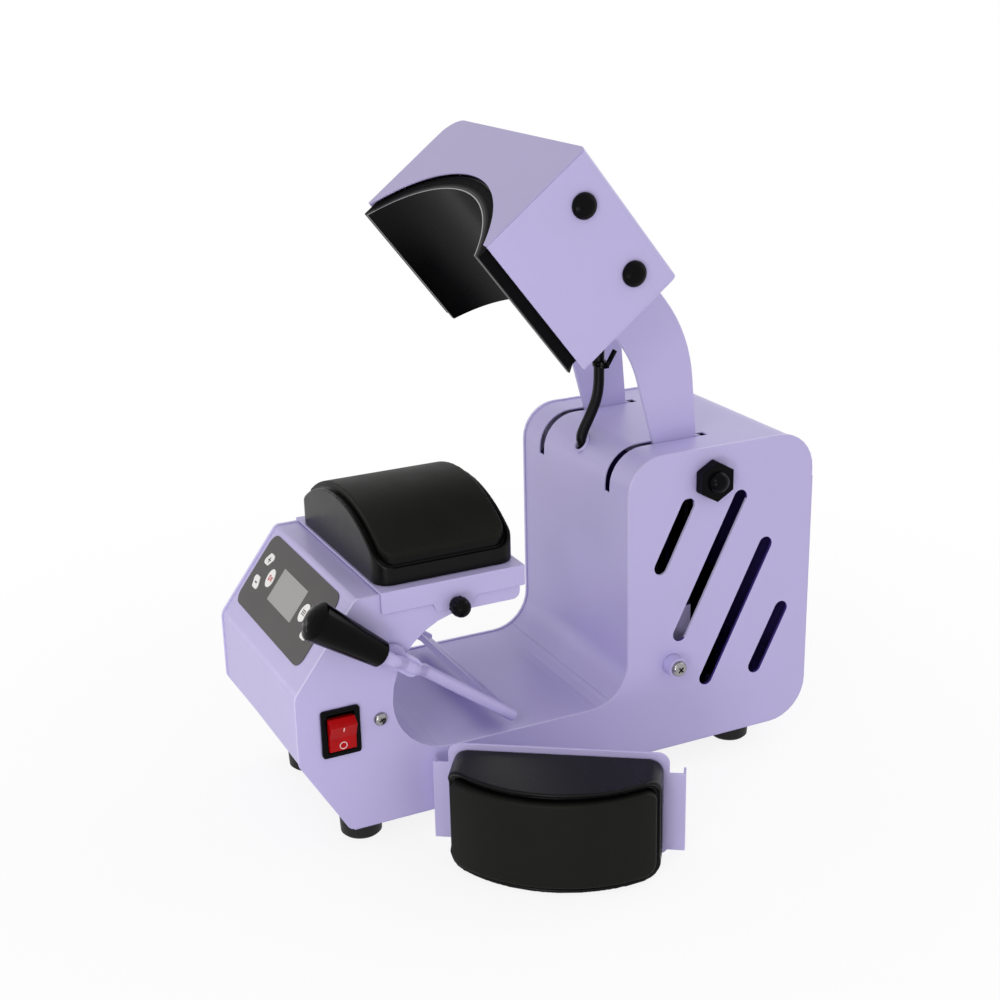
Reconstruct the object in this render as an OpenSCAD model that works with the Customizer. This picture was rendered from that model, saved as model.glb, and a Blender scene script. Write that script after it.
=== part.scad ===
// Cap heat press: a curved heated head on two arms, over a padded cap mat on a sheet metal body.
// Lengths are in millimetres. The body is drawn from the bottom front corner of its side plates,
// and stand() then puts it on its feet, with the origin on the table between the four feet.
// The head is drawn closed and level, and in_head() tips it back to the pose in which it waits.

/* [Body] */
// Width over the two side plates
body_w = 150; // [140:1:170]
// Thickness of the side plates
plate_t = 2; // [1.5:0.5:3]
// Thickness of the folded covers
sheet_t = 1.2; // [0.8:0.1:1.6]
// How far the covers lie inside the edges of the side plates
cover_inset = 0.8; // [0.4:0.1:1.2]
// Depth of the body from the bottom front corner to the back
body_d = 341; // [330:1:360]
// Height of the deck that carries the mat bracket
deck_h = 153; // [150:1:158]
// Height of the tower at the back
tower_h = 209; // [208:1:216]
// Depth of the tower from front to back
tower_len = 142; // [138:1:146]
// Height of the floor of the throat
floor_h = 41.3; // [38:0.1:44]
// Distance from the front corner to the throat
throat_y = 32; // [30:0.5:33]
// Radius of the lower bend of the throat
throat_low_r = 39; // [30:1:39]
// Radius of the upper bend of the throat
throat_up_r = 52; // [44:1:52]
// Distance from the front corner to the end of the jaw that carries the mat
jaw_y = 120.4; // [116:0.2:121]
// Thickness of the jaw under the mat
jaw_t = 20.7; // [20:0.1:25]
// Height of the rubber feet
foot_h = 17; // [12:1:22]
// Diameter of a foot at its top
foot_d = 28; // [24:1:32]

/* [Head] */
// Depth of the hinge of the head below the top of the tower
pivot_drop = 21.8; // [20:0.2:24]
// Distance from the back of the body to the hinge of the head
pivot_back = 80.1; // [77:0.1:83]
// Diameter of the hinge shaft
shaft_d = 14; // [12:1:16]
// Angle by which the waiting head is tipped back
head_open = 52.1; // [48:0.1:56]
// Width of the head
head_w = 180; // [176:1:190]
// Distance from the front corner to the front of the head when closed
head_front_y = 24; // [22:0.5:26]
// Length of the head from front to back
head_len = 103; // [100:0.5:106]
// Height of the top of the closed head
head_top_z = 244; // [240:0.5:250]
// Height of the bottom edge of the closed head
head_low_z = 162; // [158:0.5:164]
// Radius of the inner face of the heating platen
platen_r = 106; // [104:0.5:107]
// Thickness of the heating platen
platen_t = 2.5; // [2:0.5:4]
// Height of the crown of the closed platen
platen_crown_z = 193.8; // [193:0.1:195]
// Thickness of the insulation behind the platen
insulation_t = 6; // [4:0.5:7]
// Radius of the arch cut into the ends of the head
arch_r = 108.5; // [107:0.5:112]
// Height of the crown of that arch
arch_crown_z = 204.9; // [204:0.1:206]
// Distance from the centre plane to the middle of an arm
arm_x = 46; // [42:1:50]
// Thickness of an arm
arm_t = 3; // [2.5:0.5:4]
// Radius of the round end of an arm at the hinge
arm_hub_r = 22.5; // [20:0.5:22.5]
// Diameter of the two bars that cross the head
bar_d = 10; // [8:1:12]

/* [Mat] */
// Thickness of the bracket sheet
bracket_t = 1.5; // [1:0.1:2]
// Length of the bracket from front to back
bracket_len = 96.5; // [94:0.5:98]
// Width of the mat
mat_w = 139; // [134:1:142]
// Length of the mat
mat_len = 93.5; // [90:0.5:94]
// Radius of the arch of the mat
mat_r = 106.6; // [104:0.2:108]
// Height of the mat above the bracket at its crown
mat_rise = 43; // [40:0.5:43.5]
// Height by which the raised panel stands out of the mat
panel_rise = 4; // [2:0.5:5]
// Diameter of the clamping knobs
knob_d = 12.5; // [12:0.5:16]
// Length of the grip of a clamping knob
knob_len = 13; // [10:0.5:16]

/* [Spare mat] */
// Width of the spare mat
spare_w = 130; // [124:1:134]
// Length of the spare mat, which stands upright
spare_len = 66.5; // [60:0.5:68]
// Depth of the spare mat at its crown
spare_depth = 54.8; // [50:0.2:58]
// Radius of the arch of the spare mat
spare_r = 95; // [90:1:105]
// Angle by which the spare mat is turned from the front
spare_turn = 55.8; // [50:0.1:60]

/* [Tension lever] */
// Distance from the lever's hinge to its cross piece
bail_len = 99.6; // [94:0.2:102]
// Angle of the lever below the horizontal at rest
lever_drop = 37; // [34:0.5:38]
// Diameter of the lever's rods
rod_d = 8; // [7:0.5:9]
// Diameter of the grip at its rim
grip_d = 25; // [22:0.5:27]
// Length of the grip to its rim
grip_len = 51; // [44:1:56]

/* [Controls] */
// Height of the switch frame
switch_h = 31.3; // [30:0.1:33]
// Width of the switch frame
switch_w = 25; // [24:0.1:27]
// Angle from one position of the rocker to the middle
rocker_tilt = 12; // [8:1:12]
// Width of the control panel
overlay_w = 124.7; // [120:0.1:130]
// Height of the control panel along the slope
overlay_h = 52; // [50:0.5:54]
// Width of the display
lcd_w = 44; // [40:0.5:46]
// Height of the display along the slope
lcd_h = 23; // [20:0.5:24]
// Travel of a key
key_travel = 0.4; // [0.2:0.05:0.5]

/* [Drive] */
// Distance from the hinge to the pin of the crank
crank_r = 30; // [29:0.2:31]
// Angle of the crank below the horizontal while the head is open
crank_drop = 33.5; // [33:0.1:36]
// Travel of the head from open to its limit
head_travel = 50; // [49:0.1:50.2]
// Diameter of the crank pin
crank_pin_d = 8; // [7:0.5:9]
// Diameter of the push rod
push_rod_d = 10; // [8:0.5:12]

/* [Hidden] */
$fn = 64;

// Clearances: a running fit, a fit between fixed pieces, and free air
run_fit = 0.05;
set_fit = 0.02;
air = 0.3;
eps = 0.01;
seam_gap = 0.1;
key_gap = 0.25;
bend_steps = 8;

// Outline of the side plates, from the middle of the bottom edge towards the back
half_w = body_w/2;
inner_x = half_w - plate_t;
tower_bend_r = 25;
back_bend_r = 27;
floor_bend_r = 27;
tower_y = body_d - tower_len;
pivot_y = body_d - pivot_back;
pivot_z = tower_h - pivot_drop;
jaw_h = deck_h - jaw_t;
slope_len = 70;
slope_angle = 53.13;
slope_low = [-30.5, deck_h - slope_len*sin(slope_angle)];
slope_high = slope_low + slope_len*[cos(slope_angle), sin(slope_angle)];
chamfer_z = 51.5;
floor_seam_y = tower_y - 13;
mid_y = 150;
plate_path = [[mid_y, 0], [body_d, 0], [body_d, tower_h], [tower_y, tower_h],
    [tower_y, floor_h], [throat_y, floor_h], [throat_y, jaw_h], [jaw_y, jaw_h],
    [jaw_y, deck_h], slope_high, slope_low, [slope_low[0], chamfer_z], [0, 0], [mid_y - 1, 0]];
plate_radii = [0, back_bend_r, back_bend_r, tower_bend_r, floor_bend_r, throat_low_r,
    throat_up_r, 5, 3, 5, 10, 8, 6, 0];

// Vent slots, as the two ends of each centre line, and the fasteners of the side plates
vent_w = 7.5;
vents = [for (v = [[[44.3, -37.3], [24.4, -76.6]], [[84.7, -38.3], [39.4, -126.9]],
    [[105.8, -75.2], [60.7, -163.7]], [[120.3, -124.9], [100.3, -163.7]]])
    [[tower_y, tower_h] + v[0], [tower_y, tower_h] + v[1]]];
panel_screw_d = 4;
panel_screw_y = throat_y - 8.7;
panel_screw_z = 71.6;
stop_y = tower_y + 33.6;
stop_z = 61.6;
stop_screw_d = 6;
spacer_d = 14;
spacer_len = 8.5;

// Slots for the arms and the hole for the cable, in the front bend of the tower
slot_w = arm_t + 1;
slot_low_z = tower_h - 29;
slot_rise = tower_h - cover_inset - sheet_t - pivot_z;
slot_back_y = pivot_y + sqrt(pow(arm_hub_r, 2) - pow(slot_rise, 2)) + 1.5;
hole_angle = 140;
cable_hole_d = 11.2;

// Rear cover and mains inlet
cover_low_z = 30;
cover_high_z = 176;
inlet_x = -38;
inlet_z = 60;
inlet_body = [27.6, 20.2];
inlet_screws = 20;

// The four feet
foot_x = 50;
foot_front_y = 16;
foot_back_y = body_d - 45;
feet_mid_y = (foot_front_y + foot_back_y)/2;
foot_low_d = foot_d - 1.5;
pan_z = -sheet_t;
// A tab that stands up from the base pan beside the drive
tab_x = inner_x - 11;
tab_len = 48;
tab_h = 96;
foot_screw_d = 4;
foot_bore_d = 9;
foot_web = 5;

// Hinge of the head
pivot = [0, pivot_y, pivot_z];
nut_flats = 23.6;
nut_t = 8;
dome_d = 15;
hub_bore_d = shaft_d + 6;
hub_tube_d = hub_bore_d + 6;
bush_len = 20;
arm_in_x = arm_x - arm_t/2;
arm_out_x = arm_x + arm_t/2;
spacer_x = arm_out_x + 2;

// Head, drawn closed
head_back_y = head_front_y + head_len;
half_head = head_w/2;
near_bend_r = 4.5;
far_bend_r = 15;
platen_z = platen_crown_z - platen_r;
arch_z = arch_crown_z - arch_r;
stack_low_z = head_low_z - 7;
stack_front_y = head_front_y + 3;
stack_back_y = head_back_y - 7.5;
stack_half = half_head - sheet_t - 0.8;
heater_r = platen_r + platen_t;
heater_t = 1.5;
insulation_r = heater_r + heater_t;
clamp_r = insulation_r + insulation_t;
clamp_t = 1.5;
stack_r = clamp_r + clamp_t;
bar_ys = [head_front_y + 25.7, head_back_y - 22.4];
bar_z = head_top_z - 21.6;
bar_end_x = half_head - sheet_t - 0.6;
plug_d = 16;
plug_stem_d = 8;
bracket_x = 20;
lug_t = 3;

// Arms, drawn closed
arm_top_z = head_top_z - sheet_t - 0.3;
arm_low_z = head_low_z + 39.5;
arm_span = pivot_y - head_back_y;
arm_path = [[head_front_y + 12, bar_z], [head_front_y + 12, bar_z - 13],
    [head_back_y - 6, bar_z - 13], [head_back_y - 6, arm_low_z],
    [head_back_y + 0.336*arm_span, arm_low_z], [pivot_y - 10.9, pivot_z - 18.4], [pivot_y, pivot_z],
    [pivot_y - 16.2, pivot_z + 18.4], [head_back_y + 0.456*arm_span, arm_top_z],
    [head_back_y - 6, arm_top_z], [head_back_y - 6, bar_z + 13], [head_front_y + 12, bar_z + 13],
    [head_front_y + 12, bar_z + eps]];
arm_radii = [0, 6, 0, 0, 74, 0, 0, 0, 100, 0, 0, 6, 0];

// Drive: a motor pushes the rod up, and its yoke turns the crank
crank_reach = crank_r*(1 + cos(crank_drop))/2;
push_y = pivot_y + crank_reach;
pin_y = pivot_y + crank_r*cos(crank_drop);
pin_z = pivot_z - crank_r*sin(crank_drop);
yoke_half_x = 7;
crank_t = 4;
crank_x = yoke_half_x + 1;
yoke_slot_h = crank_pin_d + 1;
yoke_slot_w = crank_pin_d + crank_r*(1 - cos(crank_drop)) + 1.2;
yoke_wall = 3.8;
yoke_slot_z = pin_z - 0.2;
yoke_low_z = yoke_slot_z - yoke_slot_h/2 - yoke_wall;
barrel_d = push_rod_d + 12;
barrel_z0 = 40;
barrel_z1 = 128;
motor_y = push_y - 33;
motor_d = 30;

// Mat bracket and mat
bracket_y = 27;
bracket_top_z = deck_h + bracket_t;
bracket_out_x = half_w + bracket_t;
knob_y = 75.8;
knob_z = jaw_h + 5.9;
stud_d = 5;
flange_z = deck_h - 12.5;
flange_back_z = deck_h - 12;
lobe_z = deck_h - 18;
lobe_y0 = knob_y - 14;
lobe_y1 = knob_y + 12;
mat_y = bracket_y + 1;
flute_r = 1.2;
flutes = 12;
mat_corner_r = 11;
mat_centre_z = bracket_top_z + mat_rise - mat_r;
panel_in_x = 2.5;
panel_in_y = 5;
panel_corner_r = 8;

// Spare mat, in a frame of its own that stands on the table
spare_x = 129.8;
spare_y = 117.2;
spare_z = -foot_h;
spare_plate_half = spare_w/2 + 3.5;
spare_plate_t = 1.5;
spare_ear_half = spare_plate_half + 9.9;
spare_ear_z0 = 3.4;
spare_ear_z1 = 56.7;
spare_flange = 9;
spare_centre_y = spare_r - spare_depth;

// Tension lever
lever_y = throat_y;
lever_z = deck_h - 40.5;
bail_x = inner_x - 5;
strap_x = half_w + 1.2;
strap_t = 4;
lever_pin_depth = 1.8;
handle_x = half_w + 13.5;
hub_d = 16;
lever_pin_d = 6;
clip_d = 12;
strip_w = 14;
strip_t = 4;
rod_bend_r = 6;
rod_x = strap_x + strap_t/2 + 1.2;
strap_r = 15;
bail_in_r = 30;
grip_start = 14;
grip_neck_d = 17;

// Switch: the rocker turns about a pin behind the side plate
switch_y = -3.05;
switch_z = 69.6;
rocker_pin_x = half_w - 4;
rocker_half_h = 11.8;
opening_half_h = 12.8;
rocker_half_w = 8.6;
opening_half_w = rocker_half_w + air;
rocker_pin_d = 3;
bezel_t = 2;
switch_body_d = 22;

// Control panel, along the slope from its lower edge
overlay_x = -5.2;
overlay_s = 39.8;
overlay_t = 0.5;
panel_face = -cover_inset;
overlay_face = panel_face + overlay_t;
key_face = overlay_face + 0.6;
key_low = panel_face - sheet_t - 0.9;
board_top = key_low - key_travel - 2;
board_t = 1.6;
lcd_s = 41.5;
// A leaf key of the top right corner: its long side leans towards the middle
leaf_corners = [[-7.6, 4.3], [-1.6, -4.3], [7.6, -4.3], [2.2, 4.3]];
leaf_x = 48;
leaf_s = 8.6;
oval_x = 32.6;

// Route of the heater cable in the centre plane, from the tower to the head
cable_d = 7.4;
gland_d = 12;
cable_sides = 10;
cable_route = [[13.4, -15.3], [9.6, -12.1], [6.2, -9.2], [4.6, -5.6], [5.4, -1], [8.3, 4.6],
    [12.2, 11.5], [16.6, 20], [19.6, 29], [20.4, 38], [20.4, 50], [20.6, 62], [20.6, 73],
    [19.7, 82.5], [17.6, 90.6], [14.1, 96.9], [10.4, 101.7]];
cable_path = [for (p = cable_route) [tower_y, tower_h] + p];

function unit(v) = v/norm(v);
function left_of(v) = [-v[1], v[0]];
function reversed(list) = [for (i = [len(list) - 1:-1:0]) list[i]];
function arc_points(centre, r, from, sweep, steps) =
    [for (k = [0:steps]) centre + r*[cos(from + sweep*k/steps), sin(from + sweep*k/steps)]];

// One corner of an outline, moved to its left by shift and rounded about the same centre
function corner_points(p, q, r, radius, shift) =
    let (a = unit(q - p), b = unit(r - q), turn = cross(a, b), side = turn > 0 ? 1 : -1)
    let (bend = acos(max(-1, min(1, a*b))), apex = q + shift*(left_of(a) + left_of(b))/(1 + a*b))
    let (bend_r = radius - side*shift)
    radius <= 0 || bend_r <= 0 || bend < 0.5 ? [apex]
    : let (start = apex - a*bend_r*tan(bend/2), centre = start + side*bend_r*left_of(a))
      let (from = atan2(start[1] - centre[1], start[0] - centre[0]))
      arc_points(centre, bend_r, from, side*bend, bend_steps);

function rounded(path, radii, shift = 0) =
    let (n = len(path) - 1)
    [for (i = [0:n])
        each i == 0 ? [path[0] + shift*left_of(unit(path[1] - path[0]))]
        : i == n ? [path[n] + shift*left_of(unit(path[n] - path[n - 1]))]
        : corner_points(path[i - 1], path[i], path[i + 1], radii[i], shift)];

// A closed outline as a path that starts and ends in the middle of its last side
function closed(corners) =
    let (last = corners[len(corners) - 1], mid = (corners[0] + last)/2)
    concat([mid], corners, [mid + eps*unit(last - mid)]);

module stand() translate([0, -feet_mid_y, foot_h]) children();

module in_head() translate(pivot) rotate([-head_open, 0, 0]) translate(-pivot) children();

module on_slope() translate([0, slope_low[0], slope_low[1]]) rotate([slope_angle, 0, 0]) children();

// A flat outline in depth and height, made thick from x0 to x1
module across(x0, x1) translate([x0, 0, 0]) rotate([90, 0, 90]) linear_extrude(x1 - x0) children();

// A flat outline in width and height, made thick from y0 to y1
module along(y0, y1) translate([0, y1, 0]) rotate([90, 0, 0]) linear_extrude(y1 - y0) children();

module pin_x(y, z, x0, x1, d) translate([x0, y, z]) rotate([0, 90, 0]) cylinder(d = d, h = x1 - x0);

module both() {
    children();
    mirror([1, 0, 0]) children();
}

module folded_sheet(path, radii, half) {
    outer = rounded(path, radii, cover_inset);
    inner = rounded(path, radii, cover_inset + sheet_t);
    across(-half, half) polygon(concat(outer, reversed(inner)));
}

// A rectangle with rounded corners, about its middle
module soft_rectangle(w, h, r) {
    square([w - 2*r, h], center = true);
    square([w, h - 2*r], center = true);
    for (x = [-1, 1], y = [-1, 1])
        translate([x*(w/2 - r), y*(h/2 - r)]) circle(r);
}

// A slot with round ends between two points of the side plate
module vent(from, to, width) {
    run = to - from;
    translate(from) rotate(atan2(run[1], run[0])) {
        translate([0, -width/2]) square([norm(run), width]);
        circle(d = width);
        translate([norm(run), 0]) circle(d = width);
    }
}

// Body

module side_plate(switch_side) {
    difference() {
        across(inner_x, half_w) polygon(rounded(plate_path, plate_radii));
        if (switch_side)
            for (v = vents)
                across(inner_x - 1, half_w + 1) vent(v[0], v[1], vent_w);
        pin_x(pivot_y, pivot_z, inner_x - 1, half_w + 1, shaft_d + 2*set_fit);
        pin_x(knob_y, knob_z, inner_x - 1, half_w + 1, stud_d + 2*run_fit);
        pin_x(lever_y, lever_z, inner_x - 1, half_w + 1, lever_pin_d + 2*run_fit);
        pin_x(panel_screw_y, panel_screw_z, inner_x - 1, half_w + 1, panel_screw_d + 2*set_fit);
        pin_x(stop_y, stop_z, inner_x - 1, half_w + 1, stop_screw_d + 2*set_fit);
        if (switch_side)
            translate([inner_x - 1, switch_y - opening_half_w - 1.2, switch_z - opening_half_h - 1.2])
                cube([plate_t + 2, 2*opening_half_w + 2.4, 2*opening_half_h + 2.4]);
    }
}

module side_plate_right() color("#b8b0dc") stand() side_plate(true);

module side_plate_left() color("#b8b0dc") stand() mirror([1, 0, 0]) side_plate(false);

module key_shapes(grow) {
    for (side = [-1, 1]) {
        for (up = [-1, 1])
            translate([overlay_x + side*leaf_x, lcd_s + up*leaf_s]) leaf(side, up, grow);
        translate([overlay_x + side*oval_x, lcd_s]) oval(side, grow);
    }
}

module leaf(side, up, grow) mirror([side < 0 ? 1 : 0, 0]) mirror([0, up < 0 ? 1 : 0])
    polygon(rounded(closed(leaf_corners), [0, 2.4, 2, 2.4, 2, 0], -grow));

module oval(side, grow) {
    rotate(-side*14) scale([5.2 + grow, 6.4 + grow]) circle(1, $fn = 40);
}

module front_panel() color("#b8b0dc") stand() difference() {
    folded_sheet([[jaw_y - 6, deck_h], slope_high, slope_low, [slope_low[0], chamfer_z], [0, 0]],
        [0, 5, 10, 8, 0], inner_x);
    on_slope() translate([0, 0, panel_face - 4]) linear_extrude(8) {
        key_shapes(key_gap);
        translate([overlay_x, lcd_s]) square([lcd_w - 2, lcd_h - 2], center = true);
    }
}

// The folded sheets that line the tower and the throat, down to the end of the jaw
module lining() folded_sheet([[body_d, cover_high_z + air], [body_d, tower_h], [tower_y, tower_h],
    [tower_y, floor_h], [throat_y, floor_h], [throat_y, jaw_h], [jaw_y, jaw_h], [jaw_y, deck_h - 3]],
    [0, back_bend_r, tower_bend_r, floor_bend_r, throat_low_r, throat_up_r, 5, 0], inner_x);

module throat_liner() color("#b8b0dc") stand() intersection() {
    lining();
    translate([-half_w, 0, 0]) cube([body_w, floor_seam_y - seam_gap, tower_h]);
}

// Turns what is drawn upright to lean out of the bend at the front of the tower
module at_cable_hole() {
    translate([0, tower_y + tower_bend_r, tower_h - tower_bend_r])
        rotate([hole_angle - 90, 0, 0]) children();
}

module tower_cover() color("#b8b0dc") stand() difference() {
    intersection() {
        lining();
        translate([-half_w, floor_seam_y, 0]) cube([body_w, body_d, tower_h]);
    }
    both() translate([arm_x - slot_w/2, tower_y - 5, slot_low_z])
        cube([slot_w, slot_back_y - tower_y + 5, tower_h]);
    at_cable_hole() cylinder(d = cable_hole_d + 2*set_fit, h = 40);
}

module rear_cover() color("#b8b0dc") stand() difference() {
    translate([-half_w + 1, body_d, cover_low_z])
        cube([body_w - 2, sheet_t, cover_high_z - cover_low_z]);
    translate([inlet_x, body_d + sheet_t/2, inlet_z])
        cube([inlet_body[0] + 0.4, 4*sheet_t, inlet_body[1] + 0.4], center = true);
    for (x = [-1, 1])
        translate([inlet_x + x*inlet_screws, body_d - 1, inlet_z]) rotate([-90, 0, 0])
            cylinder(d = 3.2, h = 4);
}

module base_pan() color("#a79fcf") stand() difference() {
    path = [[3, 0], [body_d, 0], [body_d, cover_low_z - air]];
    radii = [0, back_bend_r, 0];
    union() {
        across(-half_w + 1, half_w - 1)
            polygon(concat(rounded(path, radii, -sheet_t), reversed(rounded(path, radii, 0))));
        translate([tab_x, tower_y + 7, -eps]) cube([sheet_t, tab_len, tab_h]);
    }
    at_feet() cylinder(d = foot_screw_d + 2*set_fit, h = 20, center = true);
}

module at_feet() {
    for (x = [-foot_x, foot_x], y = [foot_front_y, foot_back_y])
        translate([x, y, 0]) children();
}

module feet() color("#171717") stand() at_feet() {
    top = pan_z;
    rotate_extrude() polygon([[foot_screw_d/2 + set_fit, top], [foot_d/2, top],
        [foot_low_d/2, -foot_h + 1.5], [foot_low_d/2 - 1.5, -foot_h], [foot_bore_d/2, -foot_h],
        [foot_bore_d/2, top - foot_web], [foot_screw_d/2 + set_fit, top - foot_web]]);
}

module foot_screws() color("#c4c4c8") stand() at_feet() {
    translate([0, 0, pan_z - foot_web - 2.4]) cylinder(d = 7.4, h = 2.4);
    translate([0, 0, pan_z - foot_web]) cylinder(d = foot_screw_d, h = foot_web + 9);
    translate([0, 0, 0]) cylinder(d = 7.6, h = 3.2, $fn = 6);
}

module power_inlet() color("#1c1c1e") stand() {
    face_y = body_d + sheet_t;
    difference() {
        union() {
            translate([inlet_x, face_y, inlet_z]) rotate([-90, 0, 0]) linear_extrude(2.5)
                soft_rectangle(48, 24, 5);
            translate([inlet_x - inlet_body[0]/2, face_y - 24, inlet_z - inlet_body[1]/2])
                cube([inlet_body[0], 24 + eps, inlet_body[1]]);
        }
        translate([inlet_x, face_y - 17, inlet_z]) rotate([-90, 0, 0]) linear_extrude(30)
            polygon([[-12.2, 8.2], [12.2, 8.2], [12.2, -2.2], [6.2, -8.2], [-6.2, -8.2], [-12.2, -2.2]]);
        for (x = [-1, 1])
            translate([inlet_x + x*inlet_screws, face_y - 1, inlet_z]) rotate([-90, 0, 0])
                cylinder(d = 3.4, h = 6);
    }
    for (blade = [[-7, -2], [0, 2], [7, -2]])
        translate([inlet_x + blade[0] - 1, face_y - 17 - eps, inlet_z + blade[1] - 2])
            cube([2, 15, 4]);
}

module rocker_bezel() color("#17161c") stand() difference() {
    union() {
        translate([half_w, switch_y, switch_z]) rotate([90, 0, 90]) linear_extrude(bezel_t)
            soft_rectangle(switch_w, switch_h, 2);
        translate([half_w - switch_body_d, switch_y - opening_half_w - 1, switch_z - opening_half_h - 1])
            cube([switch_body_d + eps, 2*opening_half_w + 2, 2*opening_half_h + 2]);
    }
    translate([half_w - 12, switch_y - opening_half_w, switch_z - opening_half_h])
        cube([20, 2*opening_half_w, 2*opening_half_h]);
    translate([rocker_pin_x, switch_y - opening_half_w - 0.8, switch_z]) rotate([-90, 0, 0])
        cylinder(d = rocker_pin_d + 2*run_fit, h = 2*opening_half_w + 1.6);
}

module rocker() color("#c4101a") stand() translate([rocker_pin_x, switch_y, switch_z])
    rotate([0, rocker_tilt, 0]) {
        half_face = 8.9;
        rotate([90, 0, 0]) translate([0, 0, -rocker_half_w]) linear_extrude(2*rocker_half_w)
            polygon([[-4, -3], [-1, -9], [5, -rocker_half_h], [10.4, -half_face], [9, 0],
                [10.4, half_face], [5, rocker_half_h], [-1, 9], [-4, 3]]);
        rotate([90, 0, 0]) cylinder(d = rocker_pin_d, h = 2*opening_half_w + 1.2, center = true);
    }

module panel_overlay() color("#5c5a58") stand() on_slope() translate([0, 0, panel_face])
    linear_extrude(overlay_t) difference() {
        translate([overlay_x, overlay_s]) soft_rectangle(overlay_w, overlay_h, 8);
        key_shapes(key_gap);
        translate([overlay_x, lcd_s]) square([lcd_w, lcd_h], center = true);
    }

module lcd_window() color("#a6a5a1") stand() on_slope()
    translate([overlay_x, lcd_s, panel_face])
        linear_extrude(overlay_t) square([lcd_w - 2*set_fit, lcd_h - 2*set_fit], center = true);

module key_body() {
    translate([0, 0, key_low]) linear_extrude(0.8) children(1);
    translate([0, 0, key_low + 0.8 - eps]) linear_extrude(key_face - key_low - 0.8 + eps) children(0);
}

module leaf_key(side, up) color("#f2f1ee") stand() on_slope()
    translate([overlay_x + side*leaf_x, lcd_s + up*leaf_s, 0]) key_body() {
        leaf(side, up, 0);
        leaf(side, up, 0.8);
    }

module oval_key(side) color("#f2f1ee") stand() on_slope()
    translate([overlay_x + side*oval_x, lcd_s, 0]) key_body() {
        oval(side, 0);
        oval(side, 0.8);
    }

module key_plus() leaf_key(-1, 1);

module key_minus() leaf_key(-1, -1);

module key_start() oval_key(-1);

module key_next() leaf_key(1, 1);

module key_back() leaf_key(1, -1);

module key_menu() oval_key(1);

module control_board() color("#1d5c38") stand() on_slope() {
    board_low = board_top - board_t;
    translate([overlay_x, overlay_s, board_low]) linear_extrude(board_t)
        square([overlay_w - 8, overlay_h - 6], center = true);
    translate([overlay_x, lcd_s, board_top - eps])
        linear_extrude(panel_face - sheet_t - 0.4 - board_top) square([lcd_w + 2, lcd_h + 2], center = true);
    for (side = [-1, 1]) {
        for (up = [-1, 1])
            translate([overlay_x + side*leaf_x, lcd_s + up*leaf_s, board_top - eps]) tact();
        translate([overlay_x + side*oval_x, lcd_s, board_top - eps]) tact();
        for (s = [-1, 1])
            translate([overlay_x + side*(overlay_w/2 - 7.5), overlay_s + s*(overlay_h/2 - 6), board_top - eps])
                cylinder(d = 4, h = panel_face - sheet_t - board_top + eps);
    }
}

module tact() {
    translate([-3, -3, 0]) cube([6, 6, 1.2]);
    cylinder(d = 3, h = 2);
}

module power_board() color("#1d5c38") stand() {
    y0 = tower_y + 7;
    x0 = -inner_x + 5;
    board_w = 48;
    for (x = [x0 + 4, x0 + board_w - 4], y = [y0 + 6, y0 + 104])
        translate([x, y, 0]) cylinder(d = 6, h = 8);
    translate([x0, y0, 8 - eps]) cube([board_w, 110, 1.6]);
    translate([x0 + 4, y0 + 12, 9.5]) cube([26, 32, 24]);
    translate([x0 + 34, y0 + 14, 9.5]) cube([10, 20, 15]);
    translate([x0 + 4, y0 + 52, 9.5]) cube([16, 32, 18]);
    translate([x0 + 34, y0 + 50, 9.5]) cylinder(d = 14, h = 24);
}

module pan_head(d, h) {
    rotate_extrude() polygon([[0, 0], [d/2, 0], [d/2, h*0.45], [d/2 - h*0.3, h*0.8],
        [d/4, h], [0, h]]);
}

module panel_screws() color("#d4d4d8") stand() both() {
    translate([half_w, panel_screw_y, panel_screw_z]) rotate([0, 90, 0]) pan_head(8.6, 2.8);
    pin_x(panel_screw_y, panel_screw_z, inner_x - 6, half_w + eps, panel_screw_d);
}

module stop_spacers() color("#b8b0dc") stand() both() difference() {
    pin_x(stop_y, stop_z, half_w, half_w + spacer_len, spacer_d);
    pin_x(stop_y, stop_z, half_w - 1, half_w + spacer_len + 1, stop_screw_d + 2*set_fit);
}

module stop_screws() color("#d4d4d8") stand() both() {
    translate([half_w + spacer_len, stop_y, stop_z]) rotate([0, 90, 0]) pan_head(10.6, 3.4);
    pin_x(stop_y, stop_z, inner_x - 8, half_w + spacer_len + eps, stop_screw_d);
    translate([inner_x - 5, stop_y, stop_z]) rotate([0, 90, 0]) cylinder(d = 11.5, h = 5, $fn = 6);
}

// Hinge of the head

module pivot_shaft() color("#c4c4c8") stand()
    pin_x(pivot_y, pivot_z, -half_w - nut_t, half_w + nut_t, shaft_d);

module pivot_spacers() color("#c4c4c8") stand() both() difference() {
    pin_x(pivot_y, pivot_z, spacer_x + air, inner_x, shaft_d + 6);
    pin_x(pivot_y, pivot_z, spacer_x - 1, inner_x + 1, shaft_d + 2*set_fit);
}

module pivot_cap_nuts() color("#141414") stand() both() translate([half_w, pivot_y, pivot_z])
    rotate([0, 90, 0]) difference() {
        union() {
            cylinder(d = nut_flats/cos(30), h = nut_t, $fn = 6);
            translate([0, 0, nut_t - eps]) rotate_extrude() intersection() {
                translate([0, -1.5]) circle(d = dome_d + 1);
                square([dome_d/2, 7]);
            }
        }
        translate([0, 0, -1]) cylinder(d = shaft_d + 2*set_fit, h = nut_t + 1 + set_fit);
    }

module arm() difference() {
    across(arm_in_x, arm_out_x) {
        polygon(rounded(arm_path, arm_radii));
        translate([pivot_y, pivot_z]) circle(arm_hub_r);
    }
    pin_x(pivot_y, pivot_z, arm_in_x - 1, arm_out_x + 1, hub_bore_d + 2*set_fit);
    for (y = bar_ys)
        pin_x(y, bar_z, arm_in_x - 1, arm_out_x + 1, bar_d + 2*set_fit);
}

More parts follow.
